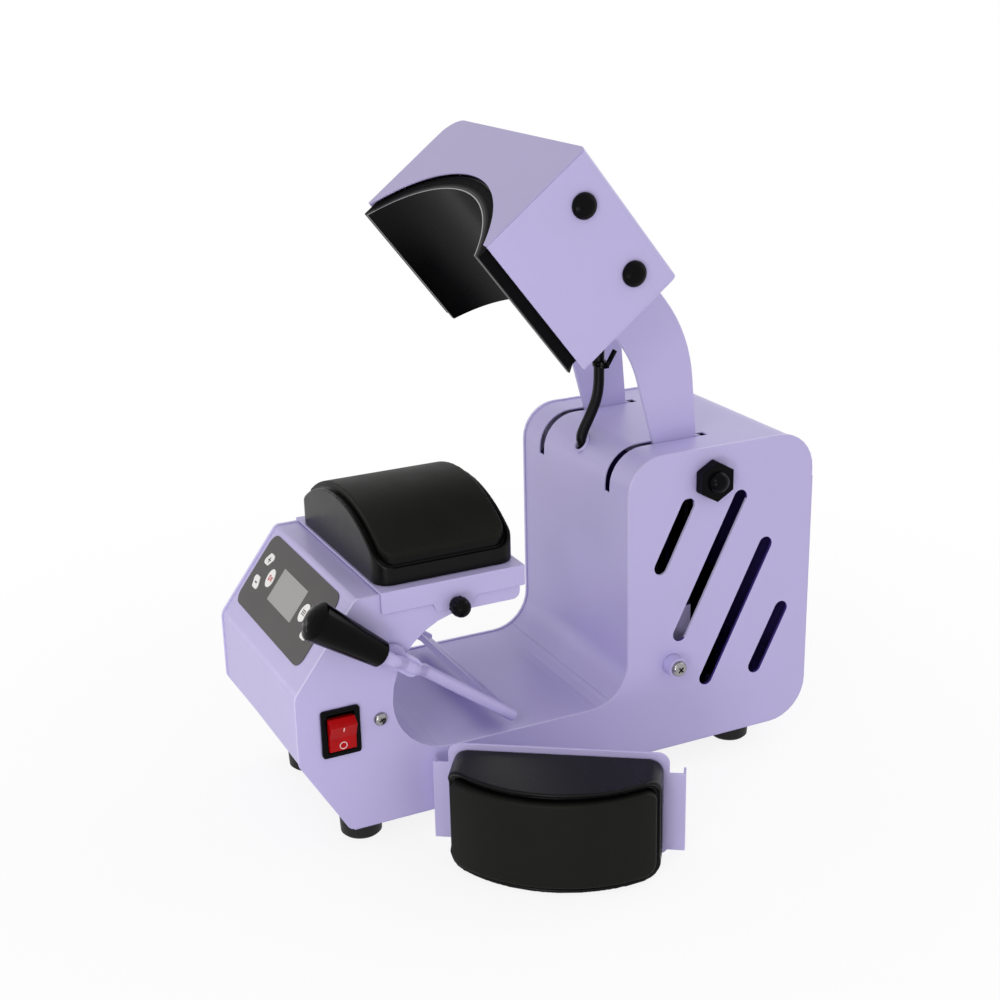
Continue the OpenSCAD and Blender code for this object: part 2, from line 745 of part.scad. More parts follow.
module arm_right() color("#b8b0dc") stand() in_head() arm();

module arm_left() color("#b8b0dc") stand() in_head() mirror([1, 0, 0]) arm();

module pivot_bushes() color("#c8a24a") stand() in_head() both() difference() {
    pin_x(pivot_y, pivot_z, spacer_x - bush_len, spacer_x, hub_bore_d);
    pin_x(pivot_y, pivot_z, spacer_x - bush_len - 1, spacer_x + 1, shaft_d + 2*run_fit);
}

// The tube that joins the arms, with the two crank plates that the drive turns. It is drawn
// in its waiting pose
module hub_tube() color("#8d8d92") stand() difference() {
    union() {
        pin_x(pivot_y, pivot_z, -arm_in_x, arm_in_x, hub_tube_d);
        both() across(crank_x, crank_x + crank_t) {
            translate([pivot_y, pivot_z]) rotate(-crank_drop) translate([0, -8]) square([crank_r, 16]);
            translate([pin_y, pin_z]) circle(8);
        }
    }
    pin_x(pivot_y, pivot_z, -arm_x, arm_x, hub_bore_d + 2*set_fit);
    pin_x(pin_y, pin_z, -20, 20, crank_pin_d + 2*set_fit);
}

module crank_pin() color("#d4d4d8") stand()
    pin_x(pin_y, pin_z, -crank_x - crank_t - 1, crank_x + crank_t + 1, crank_pin_d);

module push_rod() color("#b9b9be") stand() difference() {
    union() {
        translate([0, push_y, barrel_z0 + 8]) cylinder(d = push_rod_d, h = yoke_low_z - barrel_z0 - 8 + eps);
        translate([-yoke_half_x, push_y - yoke_slot_w/2 - yoke_wall, yoke_low_z])
            cube([2*yoke_half_x, yoke_slot_w + 2*yoke_wall, yoke_slot_h + 2*yoke_wall]);
    }
    across(-yoke_half_x - 1, yoke_half_x + 1) vent(
        [push_y - yoke_slot_w/2 + yoke_slot_h/2, yoke_slot_z],
        [push_y + yoke_slot_w/2 - yoke_slot_h/2, yoke_slot_z], yoke_slot_h);
}

module actuator_body() color("#2b2b2e") stand() difference() {
    union() {
        translate([-12, push_y - 12, 0]) cube([24, 24, 14]);
        translate([-17, motor_y - 17, 14 - eps]) cube([34, push_y - motor_y + 34, barrel_z0 - 14 + eps]);
        translate([0, push_y, barrel_z0 - eps]) cylinder(d = barrel_d, h = barrel_z1 - barrel_z0);
    }
    translate([0, push_y, barrel_z0 - 8]) cylinder(d = push_rod_d + 2*run_fit, h = barrel_z1);
}

module actuator_motor() color("#0f0f11") stand() translate([0, motor_y, barrel_z0]) {
    cylinder(d = motor_d, h = 78);
    translate([0, 0, 78 - eps]) cylinder(d = motor_d - 8, h = 6);
}

// Head, drawn closed

module head_outline(shift) {
    path = [[0, head_low_z], [half_head, head_low_z], [half_head, head_top_z],
        [-half_head, head_top_z], [-half_head, head_low_z], [-eps, head_low_z]];
    radii = [0, 0, near_bend_r, far_bend_r, 0, 0];
    polygon(rounded(path, radii, shift));
}

module head_shell() color("#b8b0dc") stand() in_head() difference() {
    path = [[half_head, head_low_z], [half_head, head_top_z], [-half_head, head_top_z],
        [-half_head, head_low_z]];
    radii = [0, near_bend_r, far_bend_r, 0];
    along(head_front_y + sheet_t, head_back_y - sheet_t)
        polygon(concat(rounded(path, radii, 0), reversed(rounded(path, radii, sheet_t))));
    for (y = bar_ys)
        pin_x(y, bar_z, -half_head - 1, half_head + 1, plug_stem_d + 2*set_fit);
}

module head_end() difference() {
    head_outline(0);
    translate([0, arch_z]) circle(arch_r, $fn = 180);
}

module head_front_plate() color("#b8b0dc") stand() in_head()
    along(head_front_y, head_front_y + sheet_t) head_end();

module head_rear_plate() color("#b8b0dc") stand() in_head() difference() {
    along(head_back_y - sheet_t, head_back_y) head_end();
    both() translate([arm_in_x - air, head_back_y - 5, arm_low_z - air])
        cube([arm_t + 2*air, 10, arm_top_z - arm_low_z + 2*air - 0.2]);
    translate([0, head_back_y - 5, bar_z]) rotate([-90, 0, 0])
        cylinder(d = gland_d + 2*set_fit, h = 10);
}

module arch_layer(r, t) along(stack_front_y, stack_back_y) difference() {
    intersection() {
        translate([0, platen_z]) circle(r + t, $fn = 180);
        translate([-stack_half, stack_low_z]) square([2*stack_half, 100]);
    }
    translate([0, platen_z]) circle(r, $fn = 180);
}

module heating_platen() color("#2a2a2b") stand() in_head() arch_layer(platen_r, platen_t);

module heater_mat() color("#b5542c") stand() in_head() arch_layer(heater_r, heater_t);

module insulation() color("#0d0d0d") stand() in_head() arch_layer(insulation_r, insulation_t);

module clamp_plate() color("#a9a9ad") stand() in_head() arch_layer(clamp_r, clamp_t);

module platen_brackets() color("#a9a9ad") stand() in_head() both() difference() {
    translate([bracket_x, bar_ys[0] - 8, platen_z])
        cube([lug_t, bar_ys[1] - bar_ys[0] + 16, bar_z + 9 - platen_z]);
    translate([0, 0, platen_z]) rotate([-90, 0, 0]) cylinder(r = stack_r, h = 300, $fn = 180);
    for (y = bar_ys)
        pin_x(y, bar_z, 0, half_head, bar_d + 2*set_fit);
}

module head_bars() color("#c4c4c8") stand() in_head() {
    for (y = bar_ys)
        pin_x(y, bar_z, -bar_end_x, bar_end_x, bar_d);
}

module head_plugs() color("#141414") stand() in_head() both() {
    for (y = bar_ys)
        translate([half_head, y, bar_z]) rotate([0, 90, 0]) {
            rotate_extrude() polygon([[0, 0], [plug_d/2, 0], [plug_d/2, 1.6], [plug_d/2 - 1, 3.2],
                [plug_d/2 - 3, 4.4], [plug_d/2 - 5.5, 5], [0, 5.2]]);
            translate([0, 0, bar_end_x - half_head]) cylinder(d = plug_stem_d, h = half_head - bar_end_x + eps);
        }
}

module head_sensors() color("#d8d5cc") stand() in_head() {
    mid = (bar_ys[0] + bar_ys[1])/2;
    translate([0, mid, platen_z + stack_r]) {
        cylinder(d = 16, h = 5);
        translate([0, 0, 5 - eps]) cylinder(d = 11, h = 3);
    }
    translate([8.6, mid - 5, platen_z + stack_r]) cube([6, 18, 4]);
}

module cable_gland() color("#141414") stand() in_head()
    translate([0, head_back_y - sheet_t, bar_z]) rotate([-90, 0, 0]) rotate_extrude()
        polygon([[cable_d/2 + 0.2, -6], [gland_d/2 + 2.5, -6], [gland_d/2 + 2.5, 0], [gland_d/2, 0],
            [gland_d/2, sheet_t], [gland_d/2 + 3, sheet_t], [gland_d/2 + 3, 6.5], [gland_d/2 + 1.5, 9],
            [gland_d/2 + 0.5, 13], [cable_d/2 + 0.2, 13]]);

module cable_grommet() color("#161616") stand() at_cable_hole() {
    outer = tower_bend_r - cover_inset;
    rotate_extrude() polygon([[cable_d/2 + 0.9, outer - 2], [cable_hole_d/2, outer - 2],
        [cable_hole_d/2, outer + 0.05], [cable_hole_d/2 + 1.6, outer + 0.05],
        [cable_hole_d/2 + 1, outer + 1], [cable_d/2 + 1.5, outer + 1],
        [cable_d/2 + 0.9, outer + 0.5]]);
}

// The cable: rings about the points of its route, joined into one tube
module heater_cable() color("#131313") stand() {
    n = len(cable_path);
    ring = function(i)
        let (a = cable_path[max(0, i - 1)], b = cable_path[min(n - 1, i + 1)], d = unit(b - a))
        [for (k = [0:cable_sides - 1])
            let (w = cable_d/2*cos(360*k/cable_sides), h = cable_d/2*sin(360*k/cable_sides))
            [w, cable_path[i][0] - d[1]*h, cable_path[i][1] + d[0]*h]];
    points = [for (i = [0:n - 1]) each ring(i)];
    walls = [for (i = [0:n - 2], k = [0:cable_sides - 1])
        let (next = (k + 1)%cable_sides, low = i*cable_sides, high = low + cable_sides)
        [low + k, high + k, high + next, low + next]];
    start = [for (k = [0:cable_sides - 1]) k];
    end = [for (k = [cable_sides - 1:-1:0]) (n - 1)*cable_sides + k];
    polyhedron(points, concat(walls, [start, end]));
}

// Mat on its bracket

module bracket_flange() {
    y0 = bracket_y;
    y1 = bracket_y + bracket_len;
    path = [[y0 + 30, bracket_top_z], [y0, bracket_top_z], [y0, flange_z], [lobe_y0 - 1, flange_z],
        [lobe_y0 + 1.5, lobe_z], [lobe_y1 - 1, lobe_z], [lobe_y1 + 2, flange_back_z],
        [y1, flange_back_z], [y1, bracket_top_z], [y0 + 31, bracket_top_z]];
    difference() {
        polygon(rounded(path, [0, 0, 1, 2, 2, 2, 2, 1, 0, 0]));
        translate([knob_y, knob_z]) circle(d = stud_d + 2*air);
        translate([knob_y - stud_d/2 - air, lobe_z - 5]) square([stud_d + 2*air, knob_z - lobe_z + 5]);
    }
}

module mat_bracket() color("#b8b0dc") stand() {
    both() across(half_w, bracket_out_x) bracket_flange();
    translate([-half_w - eps, bracket_y, deck_h]) cube([body_w + 2*eps, bracket_len, bracket_t]);
}

// A pad with an arched face: a flat plan with round corners, cut by the arch
module pad(w, len, corner, low, r, centre) intersection() {
    translate([0, 0, low]) linear_extrude(60) soft_rectangle(w, len, corner);
    translate([0, 0, centre]) rotate([90, 0, 0]) cylinder(r = r, h = 2*len, center = true, $fn = 180);
}

module cap_mat() color("#242422") stand() translate([0, mat_y + mat_len/2, 0]) {
    pad(mat_w, mat_len, mat_corner_r, bracket_top_z, mat_r - panel_rise, mat_centre_z);
    pad(mat_w - 2*panel_in_x, mat_len - 2*panel_in_y, panel_corner_r, bracket_top_z + 2,
        mat_r, mat_centre_z);
}

module knob() {
    translate([bracket_out_x, knob_y, knob_z]) rotate([0, 90, 0]) difference() {
        union() {
            cylinder(d = knob_d - 4, h = 3);
            translate([0, 0, 2.5]) rotate_extrude() polygon([[0, 0], [knob_d/2 - 0.8, 0],
                [knob_d/2, 1], [knob_d/2, knob_len - 7.2], [knob_d/2 - 0.7, knob_len - 5.2],
                [knob_d/2 - 2.1, knob_len - 3.5], [knob_d/2 - 4, knob_len - 2.6], [0, knob_len - 2.3]]);
        }
        for (k = [0:flutes - 1])
            rotate(360*k/flutes) translate([knob_d/2 + 0.5, 0, 2]) cylinder(r = flute_r, h = knob_len, $fn = 16);
    }
    pin_x(knob_y, knob_z, inner_x - 6, bracket_out_x + eps, stud_d);
}

module knob_right() color("#151515") stand() knob();

module knob_left() color("#151515") stand() mirror([1, 0, 0]) knob();

module captive_nuts() color("#c4c4c8") stand() both() difference() {
    pin_x(knob_y, knob_z, inner_x - 5, inner_x, 7.2);
    pin_x(knob_y, knob_z, inner_x - 6, inner_x + 1, stud_d + 2*run_fit);
}

// Tension lever, drawn with its arms level from the hinge and then lowered

module at_lever() translate([0, lever_y, lever_z]) rotate([-lever_drop, 0, 0]) children();

// A round rod along a path, with the same bend at each corner
module bent_rod(path, radius, d) {
    n = len(path) - 1;
    cut = [for (i = [0:n]) i == 0 || i == n ? 0
        : radius*tan(acos(unit(path[i] - path[i - 1])*unit(path[i + 1] - path[i]))/2)];
    for (i = [0:n - 1]) {
        way = unit(path[i + 1] - path[i]);
        translate(path[i] + cut[i]*way) rotate([0, acos(way[2]), atan2(way[1], way[0])])
            cylinder(d = d, h = norm(path[i + 1] - path[i]) - cut[i] - cut[i + 1]);
    }
    for (i = [1:n - 1]) {
        a = unit(path[i] - path[i - 1]);
        b = unit(path[i + 1] - path[i]);
        out = -unit(b - (a*b)*a);
        up = cross(out, a);
        mid = path[i] - cut[i]*a - radius*out;
        multmatrix([[out[0], a[0], up[0], mid[0]], [out[1], a[1], up[1], mid[1]],
            [out[2], a[2], up[2], mid[2]], [0, 0, 0, 1]])
            rotate_extrude(angle = acos(a*b)) translate([radius, 0]) circle(d = d);
    }
}

module bail_strap() difference() {
    across(strap_x, strap_x + strap_t) {
        circle(d = hub_d);
        translate([0, -6]) square([strap_r, 12]);
        translate([strap_r, 0]) circle(6);
    }
    translate([strap_x - 1, 0, 0]) rotate([0, 90, 0])
        cylinder(d = lever_pin_d + 2*set_fit, h = strap_t + 2);
}

module lever_bail() color("#b8b0dc") stand() at_lever() {
    tip = bail_len + strip_w/2;
    bend_in = [[rod_x, strap_r + 2, 0], [bail_x, bail_in_r, 0], [bail_x, tip, 0]];
    both() bail_strap();
    bent_rod(concat([[handle_x, -grip_start - grip_len + 8, 0], [handle_x, -3, 0],
        [rod_x, 8, 0]], bend_in), rod_bend_r, rod_d);
    mirror([1, 0, 0]) bent_rod(concat([[rod_x, 6, 0]], bend_in), rod_bend_r, rod_d);
    across(-bail_x, bail_x) translate([bail_len - strip_w/2, 0]) difference() {
        translate([0, -strip_t/2]) square([strip_w, strip_t]);
        for (line = [1/3, 2/3])
            translate([strip_w*line, strip_t/2]) circle(1, $fn = 24);
    }
}

module lever_pins() color("#c4c4c8") stand() at_lever() both() {
    rotate([0, 90, 0]) translate([0, 0, inner_x - 3]) cylinder(d = lever_pin_d, h = strap_x + lever_pin_depth - inner_x + 3);
    rotate([0, 90, 0]) translate([0, 0, inner_x - air - 1.5]) cylinder(d = clip_d, h = 1.5);
}

module lever_grip() color("#101010") stand() at_lever()
    translate([handle_x, -grip_start, 0]) rotate([90, 0, 0]) rotate_extrude() difference() {
        polygon([[0, 0], [grip_neck_d/2 - 0.8, 0], [grip_neck_d/2, 1], [grip_d/2, grip_len - 1.5],
            [grip_d/2 - 0.3, grip_len - 0.5], [grip_d/2 - 1.2, grip_len + 0.3],
            [grip_d/2 - 4, grip_len + 2.1], [grip_d/2 - 7.5, grip_len + 3.6],
            [grip_d/2 - 10.5, grip_len + 4.2], [0, grip_len + 4.4]]);
        square([rod_d/2 + set_fit, grip_len - 8 + 0.5]);
    }

// Spare mat, which stands on its end beside the machine

module at_spare() translate([spare_x, spare_y, spare_z]) rotate([0, 0, spare_turn]) children();

module spare_bracket() color("#b8b0dc") stand() at_spare() {
    plate_h = spare_len + 3.7;
    translate([0, spare_plate_t, 0]) rotate([90, 0, 0]) linear_extrude(spare_plate_t) {
        translate([0, plate_h/2]) soft_rectangle(2*spare_plate_half, plate_h, 7);
        translate([-spare_ear_half, spare_ear_z0])
            square([2*spare_ear_half, spare_ear_z1 - spare_ear_z0]);
    }
    both() translate([spare_ear_half - spare_plate_t, 0, spare_ear_z0])
        cube([spare_plate_t, spare_flange, spare_ear_z1 - spare_ear_z0]);
}

module spare_pad(w, z0, z1, corner, r) intersection() {
    translate([0, -air, (z0 + z1)/2]) rotate([90, 0, 0]) linear_extrude(60) soft_rectangle(w, z1 - z0, corner);
    translate([0, spare_centre_y, -1]) cylinder(r = r, h = spare_len + 2, $fn = 180);
}

module spare_mat() color("#242422") stand() at_spare() {
    spare_pad(spare_w, 0, spare_len, 9, spare_r - panel_rise);
    spare_pad(spare_w - 2*panel_in_x, panel_in_y, spare_len - panel_in_y, 7, spare_r);
}

side_plate_right();
side_plate_left();
front_panel();
throat_liner();
tower_cover();
rear_cover();
base_pan();
feet();
foot_screws();
power_inlet();
rocker_bezel();
panel_overlay();
lcd_window();
control_board();
power_board();
panel_screws();
stop_spacers();
stop_screws();
pivot_shaft();
pivot_spacers();
pivot_cap_nuts();
actuator_body();
actuator_motor();
captive_nuts();
cable_grommet();
heater_cable();
arm_right();
arm_left();
hub_tube();
pivot_bushes();
crank_pin();
head_shell();
head_front_plate();
head_rear_plate();
heating_platen();
heater_mat();
insulation();
clamp_plate();
platen_brackets();
head_bars();
head_plugs();
head_sensors();
cable_gland();
push_rod();
rocker();
key_plus();
key_minus();
key_start();
key_menu();
key_next();
key_back();
lever_bail();
lever_pins();
lever_grip();
mat_bracket();
cap_mat();
knob_right();
knob_left();
spare_bracket();
spare_mat();
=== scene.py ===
# Cap heat press: finishes, pads, cable, marks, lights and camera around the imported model.
# Lengths are in metres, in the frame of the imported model. A dictionary in millimetres says so.
import math

import bmesh
import bpy
from mathutils import Matrix, Vector


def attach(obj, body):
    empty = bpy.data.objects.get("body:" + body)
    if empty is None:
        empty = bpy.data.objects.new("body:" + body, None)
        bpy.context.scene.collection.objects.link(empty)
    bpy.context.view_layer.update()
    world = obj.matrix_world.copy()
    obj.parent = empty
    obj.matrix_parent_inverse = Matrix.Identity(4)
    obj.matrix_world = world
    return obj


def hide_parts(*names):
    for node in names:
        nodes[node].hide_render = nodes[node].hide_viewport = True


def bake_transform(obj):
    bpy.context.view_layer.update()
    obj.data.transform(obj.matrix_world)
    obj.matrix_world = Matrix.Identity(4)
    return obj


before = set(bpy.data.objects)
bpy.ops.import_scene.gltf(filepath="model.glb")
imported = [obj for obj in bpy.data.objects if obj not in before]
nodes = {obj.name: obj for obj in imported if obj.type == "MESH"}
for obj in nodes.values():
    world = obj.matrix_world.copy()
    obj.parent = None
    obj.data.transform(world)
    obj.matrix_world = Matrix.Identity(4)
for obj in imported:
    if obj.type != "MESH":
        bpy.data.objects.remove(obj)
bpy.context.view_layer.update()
print("frame loaded:", len(nodes), "nodes")

# The source of the part counts from the bottom front corner of its side plates, in millimetres
plateCorner = Vector((0, -0.156, 0.017))
toMetres = Matrix.Scale(0.001, 4)
toMillimetres = Matrix.Scale(1000, 4)


def fromPlate(x, y, z):
    return Vector((x, y, z)) / 1000 + plateCorner


def linked(name, data):
    # A new object in the scene, at the origin
    item = bpy.data.objects.new(name, data)
    bpy.context.scene.collection.objects.link(item)
    return item


# Camera, at the photograph's place and angle

cameraSet = {
    "position": fromPlate(921.018, -296.662, 529.598),
    "azimuth": 64.434,
    "elevation": 19.403,
    "roll": -1.311,
    "lens": 58.746,
    "sensor": 36,
    "clip": (0.01, 50),
}


def makeCamera(kit):
    azimuth, elevation, roll = (math.radians(kit[k]) for k in ("azimuth", "elevation", "roll"))
    ahead = Vector((-math.sin(azimuth) * math.cos(elevation),
                    math.cos(azimuth) * math.cos(elevation), -math.sin(elevation)))
    right = ahead.cross(Vector((0, 0, 1))).normalized()
    up = right.cross(ahead)
    turnedRight = right * math.cos(roll) + up * math.sin(roll)
    turnedUp = up * math.cos(roll) - right * math.sin(roll)
    camera = linked("photoCamera", bpy.data.cameras.new("photoCamera"))
    turn = Matrix((turnedRight, turnedUp, -ahead)).transposed().to_4x4()
    camera.matrix_world = Matrix.Translation(kit["position"]) @ turn
    camera.data.lens = kit["lens"]
    camera.data.sensor_width = kit["sensor"]
    camera.data.clip_start, camera.data.clip_end = kit["clip"]
    camera.data.dof.use_dof = False
    bpy.context.scene.camera = camera


makeCamera(cameraSet)
bpy.context.scene.view_settings.view_transform = "Standard"


# Shader nodes, written as expressions

class Wire:
    # An output of a node, with arithmetic that adds Math nodes
    def __init__(self, shader, socket):
        self.shader = shader
        self.socket = socket

    def maths(self, operation, other, flipped=False):
        first, second = (other, self) if flipped else (self, other)
        return self.shader.node("ShaderNodeMath", {"operation": operation}, {0: first, 1: second})

    def __add__(self, other):
        return self.maths("ADD", other)

    def __radd__(self, other):
        return self.maths("ADD", other, True)

    def __sub__(self, other):
        return self.maths("SUBTRACT", other)

    def __rsub__(self, other):
        return self.maths("SUBTRACT", other, True)

    def __mul__(self, other):
        return self.maths("MULTIPLY", other)

    def __rmul__(self, other):
        return self.maths("MULTIPLY", other, True)

    def __gt__(self, other):
        return self.maths("GREATER_THAN", other)

    def __lt__(self, other):
        return self.maths("LESS_THAN", other)

    def atLeast(self, other):
        return self.maths("MAXIMUM", other)

    def atMost(self, other):
        return self.maths("MINIMUM", other)


class Shader:
    def __init__(self, name, owner=None):
        # The nodes of a new material, or of the world that is given
        self.material = owner or bpy.data.materials.new(name)
        self.material.use_nodes = True
        self.tree = self.material.node_tree
        self.tree.nodes.clear()
        self.place = None if owner else self.node("ShaderNodeTexCoord", output="Object")

    def node(self, kind, settings=None, sockets=None, output=0):
        made = self.tree.nodes.new(kind)
        for name, value in (settings or {}).items():
            if name == "stops":
                ramp = made.color_ramp
                while len(ramp.elements) < len(value):
                    ramp.elements.new(1)
                for element, (spot, shade) in zip(ramp.elements, value):
                    element.position = spot
                    element.color = (shade, shade, shade, 1)
            else:
                setattr(made, name, value)
        for name, value in (sockets or {}).items():
            if isinstance(value, Wire):
                self.tree.links.new(value.socket, made.inputs[name])
            else:
                made.inputs[name].default_value = value
        return Wire(self, made.outputs[output]) if made.outputs else None

    def noise(self, scale, detail=2, roughness=0.5, at=None):
        return self.node("ShaderNodeTexNoise", None, {
            "Vector": at or self.place, "Scale": scale, "Detail": detail, "Roughness": roughness})

    def ramp(self, wire, stops):
        return self.node("ShaderNodeValToRGB", {"stops": stops}, {"Fac": wire})

    def mix(self, share, first, second):
        return self.node("ShaderNodeMix", {"data_type": "RGBA"}, {0: share, 6: first, 7: second}, 2)

    def stretched(self, scale):
        return self.node("ShaderNodeMapping", None, {"Vector": self.place, "Scale": scale})

    def along(self, wire, axis):
        return self.node("ShaderNodeSeparateXYZ", None, {"Vector": wire}, axis)

    def facing(self):
        return self.node("ShaderNodeTexCoord", output="Normal")

    def dot(self, first, second):
        return self.node("ShaderNodeVectorMath", {"operation": "DOT_PRODUCT"}, {0: first, 1: second}, 1)

    def openness(self, reach):
        # 1 where nothing is near, down to 0 in a narrow corner
        return self.node("ShaderNodeAmbientOcclusion", {"samples": 8}, {"Distance": reach}, 1)

    def bump(self, height, depth, strength=1):
        return self.node("ShaderNodeBump", None, {
            "Height": height, "Distance": depth, "Strength": strength})

    def surface(self, sockets):
        shine = self.node("ShaderNodeBsdfPrincipled", None, sockets)
        self.node("ShaderNodeOutputMaterial", None, {"Surface": shine})
        return self.material


def color(red, green, blue):
    # A colour as it shows on the screen, as the shader takes it
    def linear(value):
        value /= 255
        return value / 12.92 if value <= 0.04045 else ((value + 0.055) / 1.055) ** 2.4
    return linear(red), linear(green), linear(blue), 1


# Finishes

paintSet = {
    "tones": (color(187, 178, 224), color(181, 173, 215)),
    # A darker copy of the tones, painted shade on the head's front plate
    "shadedTones": (color(172, 163, 205), color(166, 157, 198)),
    "cloudSize": 14,
    # Paler colour of the side plates' rims, a painted highlight where the edges catch the light
    "rim": color(204, 197, 234),
    "rimHighlightFacing": 0.6,
    # Painted shade where parts lie close, from how open each spot is
    "creaseShade": color(78, 66, 128),
    "creaseReach": 0.0022,
    "creaseFrom": 0.7,
    "creaseGain": 2.2,
    "creaseMost": 0.85,
    # Painted shade inside the tower, between these limits of width, depth and height
    "hollowShade": color(62, 44, 130),
    "towerMiddle": (0, 0.114, 0.127),
    "towerSide": 0.0752,
    "towerFrom": (0.0445, 0.02),
    "towerTo": (0.1856, 0.2242),
    "frontCorner": 0.046,
    "hollowDullness": 0.5,
    "roughness": 0.42,
    "peelSize": 900,
    "peelDepth": 0.00006,
    "gritSize": 4200,
    "coat": 0.15,
    "coatRoughness": 0.3,
}


def powderCoat(name, kit, tones="tones", outward=0, shadeCreases=False):
    # outward is 1 or -1 on the side plates, whose rims are painted paler, a painted highlight, and with
    # creases on, painted shade darkens what lies close
    s = Shader(name)
    facing = s.facing()
    tone = s.mix(s.noise(kit["cloudSize"], 3), *kit[tones])
    if outward:
        # Painted highlight on the rims, on faces that don't face outward
        tone = s.mix(s.along(facing, 0) * outward < kit["rimHighlightFacing"], tone, kit["rim"])
    if shadeCreases:
        # Painted shade in creases and narrow gaps
        creaseShade = (kit["creaseFrom"] - s.openness(kit["creaseReach"])) * kit["creaseGain"]
        tone = s.mix(creaseShade.atLeast(0).atMost(kit["creaseMost"]), tone, kit["creaseShade"])
    # Inside the tower the colour is darkened, painted shade, and the paint is duller and has no coat
    toMiddle = s.node("ShaderNodeVectorMath", {"operation": "SUBTRACT"}, {0: kit["towerMiddle"], 1: s.place})
    inward = s.dot(facing, toMiddle) > 0
    across, depth, height = (s.along(s.place, axis) for axis in range(3))
    (front, low), (back, high) = kit["towerFrom"], kit["towerTo"]
    within = (depth > front) * (depth < back) * (height > low) * (height < high)
    within = within * ((depth - front) + (high - height) > kit["frontCorner"])
    within = within * (across > -kit["towerSide"]) * (across < kit["towerSide"])
    inside = inward * within
    peel = s.noise(kit["peelSize"], 2)
    grit = s.noise(kit["gritSize"], 1)
    rough = kit["roughness"] + (s.noise(60, 3) - 0.5) * 0.1 + (grit - 0.5) * 0.06
    return s.surface({
        "Base Color": s.mix(inside, tone, kit["hollowShade"]),
        "Roughness": rough + inside * kit["hollowDullness"],
        "Normal": s.bump(peel + grit * 0.25, kit["peelDepth"], 0.6),
        "Coat Weight": (1 - inside) * kit["coat"],
        "Coat Roughness": kit["coatRoughness"],
    })


def mouldedPlastic(name, base, worn, roughness, grain, depth, gloss):
    s = Shader(name)
    smears = s.noise(35, 4, 0.6)
    return s.surface({
        "Base Color": s.mix(smears, base, worn),
        "Roughness": roughness + (smears - 0.5) * 0.12,
        "Normal": s.bump(s.noise(grain, 3), depth, 0.5),
        "Specular IOR Level": gloss,
    })


def brushedMetal(name, base, dull, roughness, stretch):
    s = Shader(name)
    strokes = s.noise(500, 4, 0.6, s.stretched(stretch))
    stains = s.noise(80, 3)
    return s.surface({
        "Base Color": s.mix(stains, base, dull),
        "Metallic": 1.0,
        "Roughness": roughness + (strokes - 0.5) * 0.25 + (stains - 0.5) * 0.1,
        "Normal": s.bump(strokes, 0.00003, 0.5),
    })


platenSet = {
    "coat": color(2, 2, 3),
    "worn": color(5, 5, 6),
    "edge": color(158, 156, 160),
    "roughness": 0.28,
    "gloss": 0.11,
    "headTilt": 52.1,
    "hinge": fromPlate(0, 260.9, 187.2),
    "axis": fromPlate(0, 260.9, 87.8),
    "rim": 0.1067,
    "endFacing": 0.8,
    "longer": 0.0045,
}


def coatedPlaten(kit):
    # A dark coat on the faces, and a bare rim where the coat ends at the cut ends
    s = Shader("platenCoat")
    tilt = math.radians(kit["headTilt"])
    closed = s.node("ShaderNodeVectorRotate", {"rotation_type": "AXIS_ANGLE"}, {
        "Vector": s.place, "Center": kit["hinge"], "Axis": (1, 0, 0), "Angle": tilt})
    across, _, height = (s.along(closed, axis) for axis in range(3))
    height = height - kit["axis"].z
    reach = s.node("ShaderNodeMath", {"operation": "SQRT"}, {0: across * across + height * height})
    ends = s.dot(s.facing(), (0, math.cos(tilt), -math.sin(tilt)))
    ends = s.node("ShaderNodeMath", {"operation": "ABSOLUTE"}, {0: ends})
    cutEnd = (ends > kit["endFacing"]) * (reach < kit["rim"])
    smears = s.noise(40, 4, 0.6)
    return s.surface({
        "Base Color": s.mix(cutEnd, s.mix(smears, kit["coat"], kit["worn"]), kit["edge"]),
        "Metallic": cutEnd * 0.9,
        "Roughness": kit["roughness"] + (smears - 0.5) * 0.12,
        "Normal": s.bump(s.noise(1500, 2), 0.00002, 0.5),
        "Specular IOR Level": kit["gloss"],
    })


def wovenFibre(name, base, light):
    s = Shader(name)
    warp, weft = (s.node("ShaderNodeTexWave", {"wave_type": "BANDS", "bands_direction": axis}, {
        "Vector": s.place, "Scale": 260.0, "Distortion": 0.6, "Detail": 1.0}, 1) for axis in "XY")
    weave = warp * weft
    return s.surface({
        "Base Color": s.mix(weave, base, light),
        "Roughness": 0.85 + (s.noise(300, 2) - 0.5) * 0.15,
        "Normal": s.bump(weave, 0.0002, 0.6),
        "Specular IOR Level": 0.1,
    })


padSet = {
    "face": color(17, 17, 15),
    "faceLight": color(25, 25, 22),
    "band": color(8, 8, 8),
    "bandLight": color(14, 14, 14),
    # Painted shade in the pressed groove
    "groove": color(1, 1, 1),
}


def grooveShade(s):
    # The share of painted shade in the groove, kept on the pad's points
    return s.node("ShaderNodeAttribute", {"attribute_name": "groove"}, output=2)


def foamFace(kit):
    # Fine pored face of the foam rubber, dull with a faint bloom
    s = Shader("foamFace")
    pores = s.noise(2600, 2, 0.6)
    mottle = s.noise(55, 5, 0.65)
    lint = s.ramp(s.noise(900, 3, 0.7), [(0.68, 0), (0.78, 1)])
    face = s.mix(mottle * 0.7 + lint * 0.3, kit["face"], kit["faceLight"])
    return s.surface({
        "Base Color": s.mix(grooveShade(s), face, kit["groove"]),
        "Roughness": 0.5 + (mottle - 0.5) * 0.15,
        "Normal": s.bump(pores + mottle * 0.5, 0.0001, 0.7),
        "Specular IOR Level": 0.09,
    })


